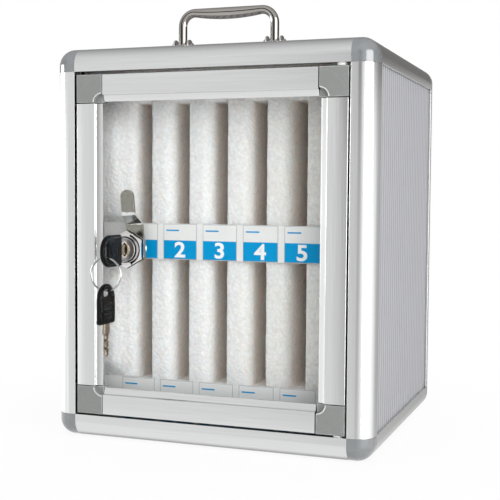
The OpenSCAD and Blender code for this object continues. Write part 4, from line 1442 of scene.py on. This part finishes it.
@dataclass
class KeySet:
    """Two keys with black grips on a split ring."""

    grip_length: float = 25.0
    grip_width: float = 20.0
    grip_thickness: float = 3.0
    grip_corner: float = 2.0
    grip_edge: float = 1.0
    slot_middle: float = 5.7
    slot_width: float = 4.2
    slot_length: float = 9.5
    border: float = 1.5
    border_line: float = 0.3
    ribs: tuple[float, ...] = (12.5, 15.5, 18.5, 21.5)
    rib_half: float = 5.0
    rib_line: float = 0.22
    line_sunk: float = 0.1
    line_height: float = 0.7
    neck: Pair = (6.0, 6.5)
    neck_start: float = 0.2
    blade: Pair = (14.5, 4.6)
    blade_root: float = 3.0
    blade_thickness: float = 2.0
    blade_edge: float = 0.18
    cuts: tuple[float, ...] = (0.7, 1.5, 0.9, 1.6, 0.8)
    cut_shape: Triple = (0.7, 0.42, 0.14)
    tip: Triple = (1.6, 1.4, 0.4)
    milled: Triple = (1.0, 2.5, 2.0)
    milled_rows: Triple = (-0.9, -0.5, -0.1)
    milled_proud: float = 0.04
    wire: Pair = (0.5, 0.36)
    ring_slack: float = 0.1
    ring_turns: int = 2
    ring_steps: int = 72
    ring_start: float = 200.0
    ring_lift: float = 1.02
    ring_step_over: Pair = (0.42, 0.58)

    def build(self) -> None:
        """Builds the grips, the blades and the ring."""
        for name, body in (("key", Body.KEY), ("spare_key", Body.SPARE)):
            self._grip(name, body)
            self._blade(name, body)
        self._ring()

    @staticmethod
    def _settle(mesh: bmesh.types.BMesh, name: str, body: Body) -> None:
        """Moves a mesh from the key's own length, width and thickness, in millimetres, to its place.

        Args:
            mesh: The mesh.
            name: Start of the key's node names.
            body: Body that it rides on.
        """
        low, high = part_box(f"{name}_grip")
        middle = (low + high) / 2
        if body is Body.KEY:
            Shop.move(mesh, lambda u, v, d: (middle.x + d * MM, low.y + u * MM, middle.z + v * MM))
        else:
            Shop.move(mesh, lambda u, v, d: (middle.x + d * MM, middle.y + v * MM, high.z - u * MM))

    def _bead(self, path: Sequence[Pair], size: float) -> bmesh.types.BMesh:
        """Makes a raised line along a path, on both faces of a grip.

        Args:
            path: Points along the line.
            size: Half width of the line.
        Returns:
            The lines' mesh, in millimetres.
        """
        across = [(size / MM, size * self.line_height / MM)] * len(path)
        lines = []
        for side in (-1, 1):
            spots = [Vector((u, v, side * (self.grip_thickness / 2 - self.line_sunk))) for u, v in path]
            lines.append(Shop.tube(spots, across, Vector((0, 0, 1)), 8))
        return Shop.join(*lines)

    def _grip(self, name: str, body: Body) -> None:
        """Builds one moulded grip where its CAD node is.

        Args:
            name: Start of the node's name.
            body: Body that it rides on.
        """
        r, corner = self.grip_width / 2, self.grip_corner
        k = (self.slot_length - self.slot_width) / 2
        foot = self.grip_length - corner
        outline = arc(foot, -r + corner, corner, 270, 360, 5) + arc(foot, r - corner, corner, 0, 90, 5)
        outline += arc(r, 0, r, 90, 270, 36)
        hole = arc(self.slot_middle, k, self.slot_width / 2, 0, 180, 10)
        hole += arc(self.slot_middle, -k, self.slot_width / 2, 180, 360, 10)
        mesh = Shop.plate(outline, self.grip_thickness, hole)
        self._settle(mesh, name, body)
        made = Shop.piece(f"{name}_moulded_grip", mesh)
        Shop.soften(made, self.grip_edge, 5)
        Shop.fit(made, body, Slot.GRIP, BLACK_GRIP, f"{name}_grip")
        inset = r - self.border
        edge = [(foot, -inset)] + arc(r, 0, inset, 270, 90, 24) + [(foot, inset)]
        across = (-self.rib_half, 0.0, self.rib_half)
        ribs = [self._bead([(u, v) for v in across], self.rib_line) for u in self.ribs]
        lines = Shop.join(self._bead(edge, self.border_line), *ribs)
        self._settle(lines, name, body)
        # The raised border and ribs are a little lighter than the grip, a painted highlight.
        Shop.fit(Shop.piece(f"{name}_grip_ribs", lines), body, Slot.GRIP, GRIP_RIB_HIGHLIGHT)

    def _blade(self, name: str, body: Body) -> None:
        """Cuts one blade with its shoulder and a row of cuts, where its CAD node is.

        Args:
            name: Start of the node's name.
            body: Body that it rides on.
        """
        root, neck = self.grip_length - self.blade_root, self.grip_length - self.neck_start
        shoulder = self.grip_length + self.neck[0]
        half_neck, half = self.neck[1] / 2, self.blade[1] / 2
        end = shoulder + self.blade[0]
        pitch = self.blade[0] / (len(self.cuts) + 1)
        first, wide, narrow = self.cut_shape
        teeth = []
        for i, depth in enumerate(self.cuts):
            at = shoulder + pitch * (i + first)
            teeth.append((at - wide * pitch, half))
            teeth += [(at - narrow * pitch, half - depth), (at + narrow * pitch, half - depth)]
        low_taper, high_taper, blunt = self.tip
        outline = [(root, -half), (neck, -half_neck), (shoulder, -half_neck)] + [(u, -v) for u, v in teeth]
        outline += [(end - low_taper, -half + blunt), (end, -blunt), (end, blunt)]
        outline += [(end - high_taper, half - blunt)] + teeth[::-1]
        outline += [(shoulder, half), (shoulder, half_neck), (neck, half_neck), (root, half)]
        mesh = Shop.plate(outline, self.blade_thickness)
        self._settle(mesh, name, body)
        made = Shop.piece(f"{name}_cut_blade", mesh)
        Shop.soften(made, self.blade_edge, 2)
        Shop.fit(made, body, Slot.BLADE, NICKEL, f"{name}_blade")
        # The milled groove is a dark plate, the painted shade of the groove.
        before, side, point = self.milled
        low, middle, high = self.milled_rows
        groove = [(shoulder - before, low), (end - side, low), (end - point, middle)]
        groove += [(end - side, high), (shoulder - before, high)]
        mill = Shop.plate(groove, self.blade_thickness + self.milled_proud)
        self._settle(mill, name, body)
        Shop.fit(Shop.piece(f"{name}_milled_groove", mill), body, Slot.BLADE, MILLED_GROOVE_SHADE)

    def _ring(self) -> None:
        """Winds the split ring: two turns of flat wire."""
        low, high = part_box("key_ring")
        middle = (low + high) / 2
        radius = (high.x - low.x) / 2 - (self.wire[0] + self.ring_slack) * MM
        count = self.ring_turns * self.ring_steps
        path = []
        for share in (i / count for i in range(count + 1)):
            angle = 2 * math.pi * self.ring_turns * share + math.radians(self.ring_start)
            lift = self.wire[1] * MM * self.ring_lift * (2 * share_of(share, *self.ring_step_over) - 1)
            path.append(middle + Vector((radius * math.cos(angle), lift, radius * math.sin(angle))))
        made = Shop.piece("split_ring", Shop.tube(path, [self.wire] * len(path), TO_REAR, 12))
        Shop.fit(made, Body.RING, Slot.CHROME, RING_STEEL, "key_ring")


@dataclass
class CarryHandle:
    """Bent chrome handle on two riveted brackets."""

    datum: Datum
    nodes: Nodes
    y: float = 38.0
    pivot: float = 258.2
    span: float = 64.0
    rise: float = 21.5
    rod: float = 2.8
    rod_edge: float = 0.4
    boss: Pair = (3.0, 5.6)
    bend: float = 8.6
    bend_start: float = 2.0
    swell: float = 1.0
    grip_half: float = 23.0
    grip_steps: int = 40
    base: Triple = (13.0, 7.5, 1.4)
    base_corner: float = 2.0
    ear: Triple = (4.9, 4.4, 1.1)
    ear_foot: float = 0.6
    bracket_edge: float = 0.25
    # Half sizes of the near-black line along the rod, a painted dark reflection.
    seam: Pair = (0.3, 0.08)
    seam_sunk: float = 0.02
    seam_rise: float = 0.3

    def build(self) -> None:
        """Builds the brackets, the handle and a dark line along it, a painted reflection, and dresses the
        pins and rivets.
        """
        for side, word in ((-1, "left"), (1, "right")):
            self._bracket(side, f"handle_bracket_{word}")
        Shop.dress(self.nodes["handle_rivets"], CHROME, 0.5, 3)
        Shop.dress(self.nodes["handle_pins"], CHROME, 0.4, 3)
        path, across = self._path()
        mesh = Shop.tube(path, across, TO_REAR, 32)
        radius, length = (size * MM for size in self.boss)
        for side in (-1, 1):
            foot = self.datum.at(side * self.span / 2, self.y, self.pivot)
            turn = Matrix.Translation(foot) @ Matrix.Rotation(math.radians(90.0), 4, "Y")
            bmesh.ops.create_cone(
                mesh, cap_ends=True, segments=40, radius1=radius, radius2=radius, depth=length, matrix=turn
            )
        made = Shop.piece("bent_handle", mesh)
        Shop.soften(made, self.rod_edge, 3, 50.0)
        Shop.fit(made, Body.HANDLE, Slot.CHROME, HANDLE_CHROME, "carry_handle")
        self._seam(path, across)

    def _bracket(self, side: int, node: str) -> None:
        """Builds one bracket: a base plate and two thin round ears.

        Args:
            side: -1 on the left, 1 on the right.
            node: CAD node that it stands for.
        """
        half, deep, thick = self.base
        away, round_off, ear = self.ear
        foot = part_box(node)[0].z / MM
        middle = side * self.span / 2
        corner = self.base_corner
        outline = []
        for i, (a, b) in enumerate(((1, 1), (-1, 1), (-1, -1), (1, -1))):
            outline += arc(a * (half - corner), b * (deep - corner), corner, 90 * i, 90 * i + 90, 5)
        plate = Shop.plate(outline, thick)
        Shop.move(plate, lambda u, v, d: self.datum.at(middle + u, self.y + v, foot + thick / 2 + d))
        low = foot - self.pivot + self.ear_foot
        shape = [(round_off, low)] + arc(0, 0, round_off, 0, 180, 18) + [(-round_off, low)]
        ears = []
        for x in (middle - away, middle + away):
            ears.append(Shop.plate(shape, ear))
            Shop.move(ears[-1], lambda v, w, d: self.datum.at(x + d, self.y + v, self.pivot + w))
        made = Shop.piece(f"{node}_pressed", Shop.join(plate, *ears))
        Shop.soften(made, self.bracket_edge, 3)
        Shop.fit(made, Body.CASE, Slot.CHROME, CHROME, node)

    def _seam(self, path: Sequence[Vector], across: Sequence[Pair]) -> None:
        """Lays a thin near-black line along the front of the rod, a painted dark reflection.

        Args:
            path: Points of the rod's path.
            across: Half sizes of the rod at each point.
        """
        front = [
            spot + Vector((0, self.seam_sunk - size[1], self.seam_rise)) * MM
            for spot, size in zip(path, across)
        ]
        mesh = Shop.tube(front, [self.seam] * len(front), TO_REAR, 8)
        Shop.fit(Shop.piece("handle_painted_reflection", mesh), Body.HANDLE, Slot.CHROME, PAINTED_DARK)

    def _path(self) -> tuple[list[Vector], list[Pair]]:
        """Follows the rod from one foot to the other.

        Returns:
            The points of the path and the rod's half sizes at each.
        """
        half, top, b = self.span / 2, self.rise, self.bend
        inner, knee = half - b, top - b
        flat = [(-half, 0.0), (-half, knee - self.bend_start)]
        flat += arc(-inner, knee, b, 180, 90, 12)
        flat += [(-inner + 2 * inner * i / self.grip_steps, top) for i in range(1, self.grip_steps)]
        flat += arc(inner, knee, b, 90, 0, 12)
        flat += [(half, knee - self.bend_start), (half, 0.0)]
        path, across = [], []
        for x, z in flat:
            grow = self.swell * max(0.0, 1.0 - (x / self.grip_half) ** 2) if z == top else 0.0
            path.append(self.datum.at(x, self.y, self.pivot + z - grow))
            across.append((self.rod + grow, self.rod + 0.5 * grow))
        return path, across


@dataclass(frozen=True)
class Lamp:
    """One rectangular softbox: what it lights, where it stands, where it aims, its size and its watts."""

    name: str
    reach: Reach
    place: Triple
    aim: Triple
    size: Pair
    power: float


@dataclass
class Studio:
    """White floor, soft light and the camera of the photograph."""

    datum: Datum
    place: Triple = (244.1, -588.7, 163.4)
    target: Triple = (-5.51, 97.5, 121.099)
    roll: float = 0.3995
    lens: float = 73.61
    sensor: float = 36.0
    gain: float = 1.25
    fill: float = 0.72
    lamps: tuple[Lamp, ...] = (
        Lamp("key softbox", Reach.MATT, (688, -1132, 1522), (0, 20, 130), (1920, 1600), 10.6),
        Lamp("side softbox", Reach.MATT, (1030, -595, 300), (0, 20, 130), (800, 600), 4.9),
        Lamp("right reflector", Reach.GLOSS, (1104, -587, 320), (60, 20, 200), (1000, 1100), 13.0),
        Lamp("left reflector", Reach.GLOSS, (-1190, -130, 205), (-60, 20, 150), (560, 430), 7.6),
    )
    horizon: tuple[Pair, ...] = (
        (-180.0, 0.35), (-160.0, 0.35), (-142.0, 0.9), (-80.0, 1.0), (-71.0, 0.95), (-65.0, 0.86),
        (-58.0, 0.74), (-52.0, 0.76), (-46.0, 0.95), (-40.0, 0.95), (-34.0, 0.70), (-30.0, 0.58),
        (-27.0, 0.63), (-22.0, 0.70), (-15.0, 0.58), (-11.0, 0.56), (-6.0, 0.44), (2.0, 0.38), (10.0, 0.50),
        (17.0, 0.66), (24.0, 0.80), (32.0, 0.92), (42.0, 1.0), (98.0, 0.97), (108.0, 0.90), (118.0, 0.76),
        (130.0, 0.56), (142.0, 0.45), (158.0, 0.40), (180.0, 0.35),
    )
    upper: tuple[Pair, ...] = (
        (-180.0, 0.15), (-150.0, 0.18), (-130.0, 0.42), (-42.0, 0.42), (-32.0, 0.68), (-22.0, 0.70),
        (-13.0, 0.60), (-10.0, 0.05), (5.0, 0.05), (14.0, 0.70), (75.0, 0.70), (88.0, 0.08), (130.0, 0.08),
        (150.0, 0.14), (180.0, 0.15),
    )
    soft: tuple[Pair, ...] = (
        (-180.0, 1.0), (18.0, 1.0), (36.0, 1.7), (80.0, 1.7), (90.0, 0.55), (140.0, 0.55), (156.0, 1.0),
        (180.0, 1.0),
    )
    ceiling: Pair = (0.64, 0.22)
    ceiling_depth: Pair = (-0.65, 0.8)
    ground: float = 0.74
    upper_rise: Pair = (0.095, 0.113)
    ceiling_rise: Pair = (0.35, 0.6)
    ground_drop: Pair = (-0.2, -0.5)
    warm_below: float = 0.5
    warmth: Pair = (0.16, 0.6)
    floor_size: float = 20.0
    floor_grey: float = 0.85
    floor_roughness: float = 0.9
    floor_fade: tuple[float, float, float, float] = (0.12, 0.26, 0.92, 1.0)

    def build(self) -> None:
        """Builds the camera, the world, the floor and the lamps."""
        bpy.context.scene.view_settings.view_transform = "Standard"
        self._camera()
        self._world()
        self._floor()
        for lamp in self.lamps:
            self._light(lamp)

    def _camera(self) -> None:
        """Puts the camera where the photograph was taken from."""
        data = bpy.data.cameras.new("camera")
        data.lens = self.lens
        data.sensor_width = self.sensor
        camera = bpy.data.objects.new("camera", data)
        bpy.context.scene.collection.objects.link(camera)
        place, target = self.datum.at(*self.place), self.datum.at(*self.target)
        back = (place - target).normalized()
        right = Vector((0, 0, 1)).cross(back).normalized()
        up = back.cross(right)
        r = math.radians(self.roll)
        side = right * math.cos(r) + up * math.sin(r)
        top = up * math.cos(r) - right * math.sin(r)
        turn = Matrix((side, top, back)).transposed().to_4x4()
        camera.matrix_world = Matrix.Translation(place) @ turn
        bpy.context.scene.camera = camera

    def _light(self, lamp: Lamp) -> None:
        """Sets up one softbox.

        Args:
            lamp: The softbox.
        """
        data = bpy.data.lights.new(lamp.name, "AREA")
        data.shape = "RECTANGLE"
        data.size, data.size_y = (size * MM for size in lamp.size)
        data.energy = lamp.power
        light = bpy.data.objects.new(lamp.name, data)
        light.location = self.datum.at(*lamp.place)
        way = self.datum.at(*lamp.aim) - light.location
        light.rotation_euler = way.to_track_quat("-Z", "Y").to_euler()
        light.visible_diffuse = lamp.reach is Reach.MATT
        light.visible_glossy = lamp.reach is Reach.GLOSS
        bpy.context.scene.collection.objects.link(light)

    def _ring(self, wiring: Wiring, turn: Socket, levels: Sequence[Pair]) -> Socket:
        """Makes one ring of the room from its brightness at each angle.

        Args:
            wiring: Wiring of the world.
            turn: The angle around the room, from 0 to 1.
            levels: Angle in degrees, 0 in front of the case, and brightness.
        Returns:
            The ring's colour.
        """
        ramp = wiring.add("ShaderNodeValToRGB")
        wiring.link(turn, ramp.inputs["Fac"])
        stops = ramp.color_ramp.elements
        stops.remove(stops[1])
        less_blue, less_green = self.warmth
        for i, (angle, level) in enumerate(levels):
            stop = stops.new((angle + 180.0) / 360.0) if i else stops[0]
            warm = max(0.0, self.warm_below - level) * less_blue
            stop.color = (level, level * (1.0 - less_green * warm), level * (1.0 - warm), 1.0)
        return ramp.outputs["Color"]

    def _world(self) -> None:
        """Makes a studio room that is plain white where the camera sees it."""
        world = bpy.data.worlds.new("studio room")
        world.use_nodes = True
        bpy.context.scene.world = world
        wiring = Wiring(world.node_tree)
        x, y, height = wiring.split(wiring.add("ShaderNodeTexCoord").outputs["Generated"])
        angle = wiring.math("ARCTAN2", x, wiring.math("MULTIPLY", y, -1.0, False), False)
        turn = wiring.remap(angle, -math.pi, math.pi)
        low, high = self._ring(wiring, turn, self.horizon), self._ring(wiring, turn, self.upper)
        room = wiring.blend(wiring.remap(height, *self.upper_rise), low, high)
        over = wiring.remap(y, *self.ceiling_depth, *self.ceiling)
        room = wiring.blend(wiring.remap(height, *self.ceiling_rise), room, over)
        room = wiring.blend(wiring.remap(height, *self.ground_drop), room, (self.ground,) * 3)
        light = world.node_tree.nodes["Background"]
        path = wiring.add("ShaderNodeLightPath").outputs
        matt = path["Is Diffuse Ray"]
        wiring.link(wiring.blend(matt, room, self._ring(wiring, turn, self.soft)), light.inputs["Color"])
        wiring.link(wiring.remap(matt, 0.0, 1.0, self.gain, self.fill), light.inputs["Strength"])
        white = wiring.add("ShaderNodeBackground")
        white.inputs["Color"].default_value = (1.0, 1.0, 1.0, 1.0)
        seen = wiring.math("MAXIMUM", path["Is Camera Ray"], path["Is Transmission Ray"])
        mixed = wiring.mix(seen, light, white)
        wiring.link(mixed.outputs[0], world.node_tree.nodes["World Output"].inputs["Surface"])

    def _floor(self) -> None:
        """Lays a white floor that keeps a faint shadow."""
        mesh = bmesh.new()
        bmesh.ops.create_grid(mesh, x_segments=1, y_segments=1, size=self.floor_size)
        floor = Shop.piece("floor", mesh)
        made, wiring, shader = blank("white floor")
        shader.inputs["Base Color"].default_value = (*(self.floor_grey,) * 3, 1.0)
        shader.inputs["Roughness"].default_value = self.floor_roughness
        path = wiring.add("ShaderNodeLightPath").outputs
        seen = wiring.math("MAXIMUM", path["Is Camera Ray"], path["Is Transmission Ray"])
        away = wiring.vector("LENGTH", wiring.facing("Position"))["Value"]
        clear = wiring.remap(away, *self.floor_fade)
        glow = wiring.add("ShaderNodeEmission")
        shaded = wiring.mix(wiring.math("MULTIPLY", seen, clear), shader, glow)
        mixed = wiring.mix(path["Is Glossy Ray"], shaded, wiring.add("ShaderNodeBsdfTransparent"))
        wiring.link(mixed.outputs[0], made.node_tree.nodes["Material Output"].inputs["Surface"])
        floor.data.materials.append(made)


def main() -> None:
    """Loads the frame and builds every sub-assembly in order."""
    logging.basicConfig(level=logging.INFO, format="%(name)s: %(message)s")
    for thing in list(bpy.data.objects):
        bpy.data.objects.remove(thing)
    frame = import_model()
    nodes = frame["nodes"]
    datum = Datum(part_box("front_left_post")[0].y)
    Studio(datum).build()
    EdgeFrame(nodes).dress()
    WindowDoor(nodes).build()
    FoamInsert().build()
    SlotLabels(datum, nodes).build()
    CamLock(datum, nodes).build()
    KeySet().build()
    CarryHandle(datum, nodes).build()


if __name__ == "__main__":
    main()
